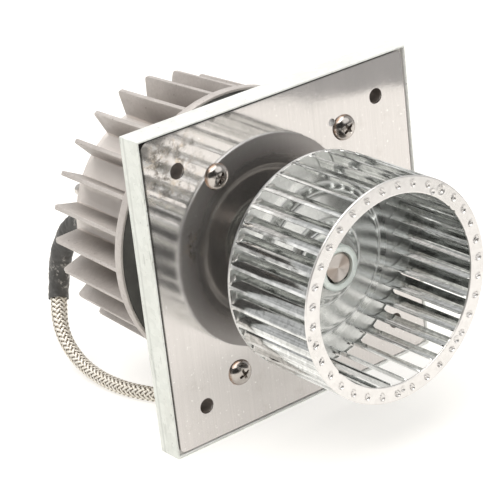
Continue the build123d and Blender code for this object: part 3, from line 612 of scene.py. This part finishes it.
# ---------------------------------------------------------------------------
# floor and light
# ---------------------------------------------------------------------------
def make_stage():
    me = bpy.data.meshes.new("studio_floor")
    s = 4.0
    me.from_pydata([(-s, -s, FLOOR * MM), (s, -s, FLOOR * MM), (s, s, FLOOR * MM), (-s, s, FLOOR * MM)], [], [(0, 1, 2, 3)])
    o = bpy.data.objects.new("studio_floor", me)
    scene.collection.objects.link(o)
    m = Mat("studio_floor")
    f = m.noise(3.0, 2.0)
    m.put("Base Color", m.mix(m.span(f, 0.3, 0.7, 0.0, 1.0), rgb(0.44, 0.43, 0.415), rgb(0.46, 0.45, 0.435)))
    m.put("Roughness", m.span(f, 0.3, 0.7, 0.7, 0.8))
    m.b.inputs["Specular IOR Level"].default_value = 0.1
    m.put("Emission Color", m.mix(f, rgb(1.0, 0.985, 0.955), rgb(0.99, 0.975, 0.94)))
    m.b.inputs["Emission Strength"].default_value = 0.66
    me.materials.append(m.m)

    w = bpy.data.worlds.new("studio")
    scene.world = w
    w.use_nodes = True
    t = w.node_tree
    t.nodes.clear()
    out = t.nodes.new("ShaderNodeOutputWorld")
    bg = t.nodes.new("ShaderNodeBackground")
    t.links.new(bg.outputs[0], out.inputs[0])
    tc = t.nodes.new("ShaderNodeTexCoord")
    dot = t.nodes.new("ShaderNodeVectorMath")
    dot.operation = "DOT_PRODUCT"
    t.links.new(tc.outputs["Generated"], dot.inputs[0])
    dot.inputs[1].default_value = WORLD_DARK
    ramp = t.nodes.new("ShaderNodeValToRGB")
    mp = t.nodes.new("ShaderNodeMapRange")
    t.links.new(dot.outputs["Value"], mp.inputs["Value"])
    mp.inputs["From Min"].default_value = -1.0
    mp.inputs["From Max"].default_value = 1.0
    t.links.new(mp.outputs[0], ramp.inputs[0])
    e = ramp.color_ramp.elements
    stops = WORLD_STOPS
    while len(e) < len(stops):
        e.new(0.5)
    for s_, (p, c) in zip(e, stops):
        s_.position = p
        s_.color = c
    side = t.nodes.new("ShaderNodeVectorMath")
    side.operation = "DOT_PRODUCT"
    t.links.new(tc.outputs["Generated"], side.inputs[0])
    side.inputs[1].default_value = WORLD_SIDE
    glow = t.nodes.new("ShaderNodeMapRange")
    glow.interpolation_type = "SMOOTHSTEP"
    t.links.new(side.outputs["Value"], glow.inputs["Value"])
    for key, value in zip(("From Min", "From Max", "To Min", "To Max"), WORLD_GLOW):
        glow.inputs[key].default_value = value
    total = t.nodes.new("ShaderNodeMix")
    total.data_type, total.blend_type, total.clamp_factor = "RGBA", "ADD", False
    total.inputs[0].default_value = 1.0
    t.links.new(ramp.outputs[0], total.inputs[6])
    t.links.new(glow.outputs["Result"], total.inputs[7])
    t.links.new(total.outputs[2], bg.inputs["Color"])
    bg.inputs["Strength"].default_value = WORLD_STRENGTH

    def area(name, at, to, size, power, color=(1, 1, 1)):
        d = bpy.data.lights.new(name, "AREA")
        d.shape = "RECTANGLE"
        d.size, d.size_y = size
        d.energy = power
        d.color = color
        o = bpy.data.objects.new(name, d)
        scene.collection.objects.link(o)
        at, to = Vector(at), Vector(to)
        o.matrix_world = Matrix.Translation(at) @ (to - at).to_track_quat("-Z", "Y").to_matrix().to_4x4()
        return o

    for a in LIGHTS:
        area(*a)
    for name, d, power, spread, color in SUNS:
        lamp = bpy.data.lights.new(name, "SUN")
        lamp.energy, lamp.angle, lamp.color = power, spread, color
        o = bpy.data.objects.new(name, lamp)
        scene.collection.objects.link(o)
        o.matrix_world = Vector(d).to_track_quat("Z", "Y").to_matrix().to_4x4()

    for name, corners, tone in CARDS:
        me = bpy.data.meshes.new(name)
        me.from_pydata(corners, [], [(0, 1, 2, 3)])
        o = bpy.data.objects.new(name, me)
        scene.collection.objects.link(o)
        m = Mat(name)
        f = m.noise(4.0, 2.0)
        m.put("Base Color", m.mix(f, rgb(tone, tone, tone), rgb(tone * 1.2, tone * 1.2, tone * 1.2)))
        m.put("Roughness", m.span(f, 0.3, 0.7, 0.8, 0.9))
        me.materials.append(m.m)
        o.visible_camera = False
        o.visible_shadow = False


WORLD_DARK = (-0.31, -0.88, 0.36)
WORLD_STOPS = ((0.0, (0.95, 0.95, 0.95, 1.0)), (0.5, (0.85, 0.85, 0.85, 1.0)), (0.70, (0.40, 0.40, 0.40, 1.0)), (0.84, (0.11, 0.11, 0.11, 1.0)), (1.0, (0.06, 0.06, 0.06, 1.0)))
WORLD_STRENGTH = 0.70
WORLD_SIDE = (0.428, -0.669, 0.607)
WORLD_GLOW = (0.86, 0.94, 0.0, 1.7)
SUNS = [
    ("softbox", (-0.20, 0.02, 0.98), 3.3, 1.25, (1.0, 0.985, 0.965)),
]
LIGHTS = []
# grey table edge that the plate reflects, out of the camera's sight
CARD_AT, CARD_ALONG, CARD_OUT = (0.2626, -0.3175), (0.847, 0.532), (0.532, -0.847)
CARDS = [("far_table", [(CARD_AT[0] + CARD_ALONG[0] * a + CARD_OUT[0] * b, CARD_AT[1] + CARD_ALONG[1] * a + CARD_OUT[1] * b, FLOOR * MM + 0.0005)
                        for a, b in ((-1.2, 0), (1.2, 0), (1.2, 0.9), (-1.2, 0.9))], 0.26)]
make_stage()

# ---------------------------------------------------------------------------
# the lead: one spline through the route, the coil and the tail
# ---------------------------------------------------------------------------
ROUTE = [(-29.5, 97.0, -3.0), (-29.5, 112.8, -3.0), (-34.2, 126.8, -9.8), (-38.1, 134.8, -23.4), (-43.4, 134.2, -43.9),
         (-53.3, 121.3, -57.6), (-55.4, 105.1, -67.7), (-55.3, 86.2, LAY), (-53.2, 66.5, LAY), (-46.4, 49.3, LAY),
         (-35.5, 34.0, LAY), (-20.0, 24.5, LAY), (-1.5, 21.8, LAY), (17.0, 24.3, LAY), (34.0, 32.3, LAY), (47.8, 45.2, LAY),
         (57.6, 61.0, LAY + 0.1), (61.0, 79.0, COIL_Z)]
TAIL = [(133.4, 106.7, COIL_Z), (127.2, 95.7, COIL_Z), (116.35, 89.2, COIL_Z), (103.7, 88.8, COIL_Z), (92.55, 94.8, COIL_Z)]


def coil_points():
    """Two turns side by side, clockwise seen from above: the outer one first."""
    grow = 1.0 / 0.966
    pts = []
    a, k = 206.0, 0
    while a > -352.0:
        t = min(max((-60.0 - a) / 90.0, 0.0), 1.0)
        t = t * t * (3 - 2 * t)
        r = (COIL_OUT + (COIL_IN - COIL_OUT) * t) * grow
        pts.append((COIL_C[0] + r * math.cos(math.radians(a)), COIL_C[1] + r * math.sin(math.radians(a)), COIL_Z))
        k += 1
        a = 206.0 - 30.0 * k
    return pts


CORD_POINTS = ROUTE + coil_points() + TAIL


def spline_line(points, res=24):
    cu = bpy.data.curves.new("route_line", "CURVE")
    cu.dimensions = "3D"
    sp = cu.splines.new("NURBS")
    sp.points.add(len(points) - 1)
    for p, q in zip(sp.points, points):
        p.co = (q[0] * MM, q[1] * MM, q[2] * MM, 1.0)
    sp.order_u = 3
    sp.use_endpoint_u = True
    sp.resolution_u = res
    ob = bpy.data.objects.new("route_line", cu)
    me = bpy.data.meshes.new_from_object(ob)
    line = np.array([v.co for v in me.vertices], float).reshape(-1, 3)
    bpy.data.meshes.remove(me)
    bpy.data.objects.remove(ob)
    bpy.data.curves.remove(cu)
    return line


LINE = spline_line(CORD_POINTS)
seg = np.linalg.norm(np.diff(LINE, axis=0), axis=1)
keep = np.concatenate([[True], seg > 1e-7])
LINE = LINE[keep]
ARC = np.concatenate([[0], np.cumsum(np.linalg.norm(np.diff(LINE, axis=0), axis=1))])
LENGTH = float(ARC[-1])


def along(s):
    s = np.clip(s, 0, LENGTH)
    return np.stack([np.interp(s, ARC, LINE[:, k]) for k in range(3)], axis=-1)


# frames carried along the line without twist
def frames(step=0.0005):
    n = int(math.ceil(LENGTH / step)) + 1
    s = np.linspace(0, LENGTH, n)
    p = along(s)
    # light smoothing of the direction only
    t = np.gradient(p, axis=0)
    t /= np.linalg.norm(t, axis=1)[:, None]
    u = np.zeros_like(t)
    first = np.cross(t[0], (0.0, 0.0, 1.0))
    u[0] = first / np.linalg.norm(first)
    for i in range(1, n):
        v = u[i - 1] - t[i] * float(u[i - 1] @ t[i])
        u[i] = v / np.linalg.norm(v)
    return s, p, t, u, np.cross(t, u)


FS, FP, FT, FU, FV = frames()


def frame_at(s):
    g = lambda a: np.stack([np.interp(s, FS, a[:, k]) for k in range(3)], axis=-1)
    p, u, v = g(FP), g(FU), g(FV)
    u /= np.linalg.norm(u, axis=-1)[..., None]
    v /= np.linalg.norm(v, axis=-1)[..., None]
    return p, u, v


def ring_tube(s, radius, n=24):
    """Tube, open at its ends, round the line at the stations s with a radius, or a function of (station index, angle).
    """
    p, u, v = frame_at(s)
    a = np.linspace(0, 2 * np.pi, n, endpoint=False)
    r = radius if callable(radius) else (lambda i, ang: np.full((len(s), n), radius))
    rr = r(s, a)
    pts = p[:, None] + rr[..., None] * (np.cos(a)[None, :, None] * u[:, None] + np.sin(a)[None, :, None] * v[:, None])
    verts = pts.reshape(-1, 3)
    m = len(s)
    faces = []
    for i in range(m - 1):
        for j in range(n):
            k = (j + 1) % n
            faces.append((i * n + j, i * n + k, (i + 1) * n + k, (i + 1) * n + j))
    return verts, faces, n, m


def make_core():
    s = np.linspace(0, LENGTH, int(LENGTH / 0.0015))
    verts, faces, n, m = ring_tube(s, 3.15 * MM, 16)
    faces.append(tuple(range(n))[::-1])
    faces.append(tuple(range((m - 1) * n, m * n)))
    o = piece("lead_core", verts, faces, "lead_core", "housing", replaces=("motor_cable", "cable_coil", "cable_tail"), angle=60)
    return o, s


STRANDS, LEAD_OF_BRAID = 10, 27.0 * MM


def make_braid(name, s0, s1):
    """Ten flat bundles of wire each way, over two and under two."""
    step = LEAD_OF_BRAID / (2 * STRANDS) / 2.0
    s = np.arange(s0, s1 + step / 2, step)
    p, u, v = frame_at(s)
    r0, amp = 3.15 * MM, 0.27 * MM
    half = 0.70 * MM
    verts, faces, uvs, dip_shade = [], [], [], []
    prof_x = np.array([-1.0, -0.55, 0.0, 0.55, 1.0, 0.0])     # across the bundle
    prof_h = np.array([-0.10, 0.10, 0.17, 0.10, -0.10, -0.16]) * MM
    tilt = math.atan2(2 * math.pi * 3.45 * MM, LEAD_OF_BRAID)
    k = len(prof_x)
    base = 0
    for sign in (1, -1):
        for i in range(STRANDS):
            cross = 2 * STRANDS * s / LEAD_OF_BRAID
            phase = (2 * i + cross) if sign > 0 else (2 * i - cross)
            up = sign * np.cos(np.pi * (phase - 0.5) / 2.0)
            up = np.tanh(1.6 * up) / np.tanh(1.6)
            jig = 0.02 * MM * np.array([noise.noise((i * 3.1, sign * 5.0, float(x) * 220.0)) for x in s])
            ang = 2 * np.pi * (i / STRANDS + sign * s / LEAD_OF_BRAID)
            da = (prof_x * half / math.cos(tilt))[None, :] / (3.45 * MM)
            aa = ang[:, None] + da
            rr = r0 + amp * up[:, None] + prof_h[None, :] + jig[:, None]
            rr = rr * (1.0 + 0.17 * np.exp(-(np.maximum(0.0, s - S_SLEEVE_END) / 0.020) ** 2))[:, None]
            pts = p[:, None] + rr[..., None] * (np.cos(aa)[..., None] * u[:, None] + np.sin(aa)[..., None] * v[:, None])
            verts.append(pts.reshape(-1, 3))
            dip_shade.append(np.repeat(np.clip(0.5 - 0.5 * up, 0, 1), k))
            uvs.append(np.stack([np.broadcast_to((prof_x + 1) / 2, (len(s), k)).ravel(), np.repeat(s * 1000, k)], axis=1))
            n = len(s)
            idx = base + np.arange(n * k).reshape(n, k)
            a = idx[:-1]
            b = idx[1:]
            q = np.stack([a, np.roll(a, -1, axis=1), np.roll(b, -1, axis=1), b], axis=-1).reshape(-1, 4)
            faces.append(q[:, ::-1] if sign > 0 else q[:, ::-1])
            base += n * k
    verts = np.concatenate(verts)
    faces = np.concatenate(faces)
    uvs = np.concatenate(uvs)
    return piece(name, verts, [tuple(int(x) for x in f) for f in faces], "metal_braid", "housing", uvs=uvs, angle=70, attrs={"dip_shade": np.concatenate(dip_shade)})


core, core_s = make_core()


def station(point):
    """Length along the line where it comes nearest to a point of the route."""
    d = np.linalg.norm(FP - np.array(point) * MM, axis=1)
    return float(FS[int(d.argmin())])


end4 = [ROUTE[4][i] + (ROUTE[5][i] - ROUTE[4][i]) * 0.19 for i in range(3)]
S_GROMMET = 7.2 * MM
S_SLEEVE_END = station(end4)
braid = make_braid("lead_braid", S_SLEEVE_END - 4 * MM, 0.332)
braid_coil = make_braid("lead_braid_coil", 0.332, LENGTH)


def make_sleeve():
    """Shrink sleeve: wide and creased at the bend, tight on the braid at its end."""
    n = 72
    s = np.arange(S_GROMMET, S_SLEEVE_END + 0.0001, 0.0005)
    L = S_SLEEVE_END - S_GROMMET
    t = (s - S_GROMMET) / L

    def radius(ss, a):
        base = np.interp(t, [0.0, 0.10, 0.35, 0.60, 0.80, 1.0], [5.3, 5.8, 5.95, 5.5, 5.15, 4.95])
        r = np.repeat(base[:, None], n, axis=1)
        for i, si in enumerate(ss):
            for j, aj in enumerate(a):
                q = (math.cos(aj) * 1.3, math.sin(aj) * 1.3, float(si) * 110.0)
                big = noise.noise(q)
                cr = noise.noise((math.cos(aj) * 0.9 + 7.0, math.sin(aj) * 0.9, float(si) * 420.0))
                fine = noise.noise((math.cos(aj) * 4.0, math.sin(aj) * 4.0 + 3.0, float(si) * 600.0))
                fade = 1.0 - 0.55 * t[i]
                r[i, j] += fade * (0.62 * big + 0.50 * (abs(cr) * -1.6 + 0.35) + 0.10 * fine)
        return r * MM

    outer, faces, n, m = ring_tube(s, radius, n)
    # open end with a real wall
    inner, _, _, _ = ring_tube(s, lambda ss, a: radius(ss, a) - 0.32 * MM, n)
    verts = np.concatenate([outer, inner])
    b = len(outer)
    faces = [f[::-1] for f in faces]
    faces += [tuple(i + b for i in f[::-1]) for f in faces]
    for j in range(n):
        k = (j + 1) % n
        faces.append(((m - 1) * n + j, (m - 1) * n + k, b + (m - 1) * n + k, b + (m - 1) * n + j))
        faces.append((j, b + j, b + k, k))
    o = piece("lead_shrink_sleeve", verts, faces, "shrink_sleeve", "housing", replaces=("cable_shrink_sleeve",), angle=60)
    return o


sleeve = make_sleeve()

# ---------------------------------------------------------------------------
# wheel
# ---------------------------------------------------------------------------
PITCH = 2 * math.pi / BLADES


def arc_through(a, b, c):
    """Centre and radius of the circle through three points."""
    ax, ay, bx, by, cx, cy = *a, *b, *c
    d = 2 * (ax * (by - cy) + bx * (cy - ay) + cx * (ay - by))
    ux = ((ax * ax + ay * ay) * (by - cy) + (bx * bx + by * by) * (cy - ay) + (cx * cx + cy * cy) * (ay - by)) / d
    uy = ((ax * ax + ay * ay) * (cx - bx) + (bx * bx + by * by) * (ax - cx) + (cx * cx + cy * cy) * (bx - ax)) / d
    return (ux, uy), math.hypot(ax - ux, ay - uy)


BL_C, BL_R = arc_through((43.0, 0.0), (47.37, 2.52), (49.5, 7.09))
BL_A0 = math.atan2(0.0 - BL_C[1], 43.0 - BL_C[0])
BL_A1 = math.atan2(7.09 - BL_C[1], 49.5 - BL_C[0])


def blade_point(u, off):
    a = BL_A0 + (BL_A1 - BL_A0) * u
    r = BL_R + off
    return BL_C[0] + r * math.cos(a), BL_C[1] + r * math.sin(a)


def make_blades():
    NU, NW = 9, 44
    verts, faces = [], []
    for k in range(BLADES):
        turn = math.radians(BLADE_A) + PITCH * k
        ca, sa = math.cos(turn), math.sin(turn)
        base = len(verts)
        for side in (-1, 1):
            for i in range(NU):
                u = i / (NU - 1)
                rear = 18.85 + 0.25 * math.sin(math.pi * u)
                front = RING_B
                if u < 0.33:
                    x = (0.33 - u) / 0.33
                    front = RING_B - 2.2 * (1 - math.sqrt(max(0.0, 1 - x * x)))
                for j in range(NW):
                    v = j / (NW - 1)
                    w = rear + (front - rear) * v
                    bow = 0.10 * noise.noise((k * 4.7, u * 0.8, w * 0.035)) + 0.012 * noise.noise((k * 2.3 + 9, u * 3.0, w * 0.30))
                    lift = 0.14 * noise.noise((k * 1.7 + 31, 0.0, w * 0.03))
                    x, y = blade_point(u, side * BLADE_T / 2 + bow * math.sin(math.pi * (0.15 + 0.85 * u)))
                    # the outer edge runs out into the band at the foot
                    foot = max(0.0, 1 - (w - rear) / 2.6)
                    x += 0.10 * foot * foot * u * u
                    y += lift * (1 - math.exp(-(w - rear) / 6.0)) * u * 0.8
                    verts.append(loc(x * ca - y * sa, x * sa + y * ca, w))
        def g(s, i, j):
            return base + (s * NU + i) * NW + j
        for i in range(NU - 1):
            for j in range(NW - 1):
                faces.append((g(0, i, j), g(0, i, j + 1), g(0, i + 1, j + 1), g(0, i + 1, j)))
                faces.append((g(1, i, j), g(1, i + 1, j), g(1, i + 1, j + 1), g(1, i, j + 1)))
        for j in range(NW - 1):
            faces.append((g(0, 0, j), g(1, 0, j), g(1, 0, j + 1), g(0, 0, j + 1)))
            faces.append((g(0, NU - 1, j), g(0, NU - 1, j + 1), g(1, NU - 1, j + 1), g(1, NU - 1, j)))
        for i in range(NU - 1):
            faces.append((g(0, i, 0), g(0, i + 1, 0), g(1, i + 1, 0), g(1, i, 0)))
            faces.append((g(0, i, NW - 1), g(1, i, NW - 1), g(1, i + 1, NW - 1), g(0, i + 1, NW - 1)))
    return piece("wheel_blade_set", verts, faces, "wheel_sheet", "rotor", replaces=("wheel_blades",), angle=40)


def make_band():
    """Rear band of the blade strip, with rounded slot ends between the blades."""
    n = BLADES * 24
    verts, faces = [], []
    ro, ri = 50.02, 49.55
    rows = [(ro, 0), (ro, 1), (ri, 1), (ri, 0)]
    for i in range(n):
        a = 2 * math.pi * i / n
        # distance, in pitches, ahead of the nearest blade's outer edge
        edge = math.radians(BLADE_A) + math.atan2(7.09, 49.5)
        f = ((a - edge) / PITCH) % 1.0
        rise = 2.4 * max(0.0, 1 - f / 0.10) ** 1.5 + 2.0 * max(0.0, (f - 0.80) / 0.20) ** 2
        top = 19.3 + min(rise, 2.2) + 0.10 * noise.noise((a * 9, 3.0, 1.0))
        for r, t in rows:
            verts.append(pol(r, a, DISC_F - 0.2 if t == 0 else top))
    for i in range(n):
        j = (i + 1) % n
        for q in range(4):
            p = (q + 1) % 4
            faces.append((i * 4 + q, j * 4 + q, j * 4 + p, i * 4 + p))
    return piece("wheel_blade_band", verts, faces, "wheel_sheet", "rotor", angle=40)


# knocks in the front ring: radius, angle, size, depth
DENTS = [(46.2, 311.7, 1.5, 0.60), (44.5, 57.7, 1.2, 0.5), (46.7, 52.0, 2.1, 0.45), (45.8, 267.7, 1.2, 0.5), (49.3, 184.7, 0.9, 0.45)]


def make_ring():
    """Front ring: a flat annulus with a clinch dimple and a flattened tenon for each blade."""
    per = 54
    n = BLADES * per
    radii = [42.8, 42.9, 43.1] + list(np.linspace(43.4, 49.9, 36)) + [50.12, 50.26, 50.3]
    top = {0: 0.22, 1: 0.06, 2: 0.0}
    k = len(radii)
    verts, faces = [], []
    rng = np.random.RandomState(4)
    jig = rng.uniform(-1, 1, (BLADES, 5))
    nick = np.zeros(n)
    for c, wd, d in ((0.097, 0.010, 0.75), (0.112, 0.006, 0.35), (0.598, 0.009, 0.65), (0.612, 0.006, -0.35), (0.86, 0.006, 0.25), (0.40, 0.005, 0.2), (0.045, 0.006, -0.25)):
        x = (np.arange(n) / n - c)
        nick += d * np.exp(-(x / wd * 3) ** 2)
    for i in range(n):
        a = 2 * math.pi * i / n
        q = (a - math.radians(9.67)) / PITCH
        kk = int(round(q))
        da = (q - kk) * PITCH
        j0 = jig[kk % BLADES]
        warp = 0.10 * noise.noise((math.cos(a) * 2.0, math.sin(a) * 2.0, 4.0))
        for r_i, r in enumerate(radii):
            h = RING_F - top.get(r_i, 0.0)
            if r_i >= k - 3:
                h -= (0.05, 0.18, 0.5)[r_i - k + 3]
            # dimple in the ring's own tangent (t) and radial (d) directions
            d = r - (46.9 + 0.12 * j0[0])
            t = da * 46.9 - 0.15 * j0[1]
            # the hollow is long in the blade's direction, with the blade's tenon as a bar in it
            lean = 0.62 + 0.18 * j0[3]
            x = d * math.cos(lean) + t * math.sin(lean)
            y = -d * math.sin(lean) + t * math.cos(lean)
            rr = math.hypot(x / 1.30, y / 1.02)
            size = 1.36 + 0.14 * j0[2]
            if rr < size + 0.6:
                bowl = 1 - (rr / size) ** 3 if rr < size else 0.0
                h -= 0.78 * max(0.0, bowl) ** 0.6
                h += 0.11 * math.exp(-((rr - size) / 0.16) ** 2)
                bar = max(0.0, 1 - (abs(x) / 1.15) ** 4) * max(0.0, 1 - (abs(y + 0.1) / 0.42) ** 4)
                h += 0.56 * bar
            for dr, dphi, ds, dd in DENTS:
                along_ = (((math.degrees(a) - dphi + 180) % 360) - 180) * math.pi / 180 * r
                q2 = math.hypot(r - dr, along_) / ds
                if q2 < 1.6:
                    h -= dd * max(0.0, 1 - q2 * q2) - 0.25 * dd * math.exp(-((q2 - 1.1) / 0.2) ** 2)
            rad = r + nick[i] * max(0.0, 1 - (r - 42.8) / 1.3)
            verts.append(pol(rad, a, h + warp))
        for r_i in (k - 1, 0):
            r = radii[r_i]
            verts.append(pol(r + (nick[i] if r_i == 0 else 0.0), a, RING_B + warp * 0.5))
    m = k + 2
    for i in range(n):
        j = (i + 1) % n
        for q in range(m):
            p = (q + 1) % m
            faces.append((i * m + q, i * m + p, j * m + p, j * m + q))
    return piece("wheel_ring", [v for v in verts], [f[::-1] for f in faces], "wheel_ring", "rotor", replaces=("wheel_front_ring",), angle=50)


def soften_line(points, cut, steps=5):
    """Rounds the corners of an open profile with short arcs."""
    out = [points[0]]
    for a, b, c in zip(points, points[1:], points[2:]):
        a, b, c = Vector(a), Vector(b), Vector(c)
        la, lc = (a - b).length, (c - b).length
        p, q = b + (a - b) * min(cut / la, 0.48), b + (c - b) * min(cut / lc, 0.48)
        for i in range(steps + 1):
            t = i / steps
            out.append(tuple(p * (1 - t) ** 2 + b * 2 * t * (1 - t) + q * t ** 2))
    out.append(points[-1])
    return out


def make_disc():
    """Pressed back disc: dished centre, rounded beads."""
    front = [(10.65, 25.6), (15.6, 25.4), (17.0, 24.9), (19.8, 22.6), (31.6, 22.0), (33.2, 21.3), (35.3, 18.8), (36.6, 18.6), (49.6, 18.6), (50.0, 18.3)]
    front = soften_line(front, 1.1)
    back = [(r, w - DISC_T) for r, w in front[::-1]]
    back[0] = (50.0, 18.0)
    prof = front + back
    n = 272
    k = len(prof)
    verts, faces = [], []
    for i in range(n):
        a = 2 * math.pi * i / n
        for r, w in prof:
            dish = 0.035 * noise.noise((math.cos(a) * r * 0.12, math.sin(a) * r * 0.12, 2.0)) * min(1.0, max(0.0, (r - 17) / 6))
            verts.append(pol(r, a, w + dish))
    for i in range(n):
        j = (i + 1) % n
        for q in range(k):
            p = (q + 1) % k
            faces.append((i * k + q, j * k + q, j * k + p, i * k + p))
    return piece("wheel_disc", verts, faces, "wheel_disc", "rotor", replaces=("wheel_back_disc",), angle=50)


def make_tabs():
    """Tongues of the back disc turned up against the blades' feet."""
    rng = np.random.RandomState(11)
    verts, faces = [], []
    for k in range(BLADES):
        turn = math.radians(BLADE_A) + PITCH * k
        ca, sa = math.cos(turn), math.sin(turn)
        b = len(verts)
        hi = 20.15 + rng.uniform(-0.25, 0.25)
        us = np.linspace(0.36 + rng.uniform(-0.03, 0.03), 0.80 + rng.uniform(-0.04, 0.04), 8)
        for q, u in enumerate(us):
            end = min(q, len(us) - 1 - q)
            top = hi - (0.55 if end == 0 else 0.12 if end == 1 else 0.0)
            for off in (-0.27, -0.85):
                x, y = blade_point(u, -off)
                for w in (DISC_F - 0.1, top - (0.12 if off < -0.5 else 0.0)):
                    verts.append(loc(x * ca - y * sa, x * sa + y * ca, w))
        n = len(us)
        for q in range(n - 1):
            a, c = b + q * 4, b + (q + 1) * 4
            faces += [(a, a + 1, c + 1, c), (a + 1, a + 3, c + 3, c + 1), (a + 3, a + 2, c + 2, c + 3), (a + 2, a, c, c + 2)]
        faces += [(b, b + 2, b + 3, b + 1), (b + (n - 1) * 4, b + (n - 1) * 4 + 1, b + (n - 1) * 4 + 3, b + (n - 1) * 4 + 2)]
    # painted highlight: the tabs take the ring's lighter finish so they show as bright lines at the blades' feet
    return piece("wheel_disc_tabs", verts, faces, "wheel_ring", "rotor", angle=40)


make_blades()
make_band()
make_disc()
make_tabs()
make_ring()

# ---------------------------------------------------------------------------
# screws through the plate
# ---------------------------------------------------------------------------


def head_height(r):
    return 3.6 * (max(0.0, 1 - (r / 6.0) ** 2.7)) ** 0.62


def make_screws():
    parts, rims = [], []
    NA, R = 120, [0.0, 0.25, 0.5, 0.75, 1.0, 1.25, 1.5, 1.75, 2.0, 2.2, 2.4, 2.6, 2.8, 3.0, 3.3, 3.6, 4.0, 4.4, 4.8, 5.1, 5.4, 5.6, 5.75, 5.86, 5.94, 5.985, 6.0]
    for k, (x, y) in enumerate(SCREWS):
        verts, faces = [], []
        turn = math.radians(20 + 35 * k)
        for r in R:
            for i in range(NA):
                a = 2 * math.pi * i / NA
                px, py = r * math.cos(a), r * math.sin(a)
                qx = abs(px * math.cos(turn) + py * math.sin(turn))
                qy = abs(-px * math.sin(turn) + py * math.cos(turn))
                big, small = max(qx, qy), min(qx, qy)
                h = head_height(r)
                wall = min(1.0, max(0.0, (0.62 - small) / 0.14 + 0.0))
                arm = min(1.0, max(0.0, (2.75 - big) / 0.9))
                mid = min(1.0, max(0.0, (1.55 - (qx + qy)) / 0.35))
                h -= 2.0 * max(wall * arm, mid)
                verts.append(loc(x + px, y + py, max(h, 0.0)))
        for j in range(len(R) - 1):
            for i in range(NA):
                l = (i + 1) % NA
                faces.append((j * NA + i, (j + 1) * NA + i, (j + 1) * NA + l, j * NA + l))
        parts.append((verts, faces))
        rims += [min(1.0, max(0.0, (r - 5.3) / 0.6)) for r in R for _ in range(NA)]
        # shank and thread
        prof = [(2.9, 0.0), (2.9, -34.0)]
        w = -34.0
        while w > -49.0:
            prof += [(2.98, w - 0.12), (2.98, w - 0.28), (2.45, w - 0.62), (2.45, w - 0.72)]
            w -= 1.0
        prof += [(2.4, -49.2), (1.9, -49.5), (0.0, -49.5)]
        v, f = revolve_pts(prof, 24, x, y)
        parts.append((v, f))
        rims += [0.0] * len(v)
    v, f = merge(*parts)
    return piece("plate_screws", v, f, "screw_head", "housing", replaces=("motor_screws",), angle=42, attrs={"rim": rims})


m = Mat("screw_head", Metallic=1.0)
f = m.noise(150.0, 4.0, 0.6)
base = m.mix(m.span(f, 0.3, 0.72, 0.0, 1.0), rgb(0.42, 0.385, 0.355), rgb(0.58, 0.545, 0.515))
rim = m.calc("MULTIPLY", m.attr("rim"), m.span(m.noise(500.0, 3.0, 0.7), 0.35, 0.62, 0.15, 0.9))
base = m.mix(rim, base, rgb(0.34, 0.19, 0.11))
base = m.mix(m.span(m.noise(1500.0, 2.0), 0.62, 0.70, 0.0, 0.5), base, rgb(0.30, 0.24, 0.19))
m.put("Base Color", base)
m.put("Roughness", m.calc("ADD", m.span(m.noise(500.0, 3.0), 0.3, 0.7, 0.13, 0.22), m.calc("MULTIPLY", rim, 0.3)))
m.put("Normal", m.bump(m.noise(900.0, 2.0), 0.00001))
M["screw_head"] = m
make_screws()

# ---------------------------------------------------------------------------
# points along the cord's line at the core's stations; the result is not kept
# ---------------------------------------------------------------------------
along(core_s).tolist()
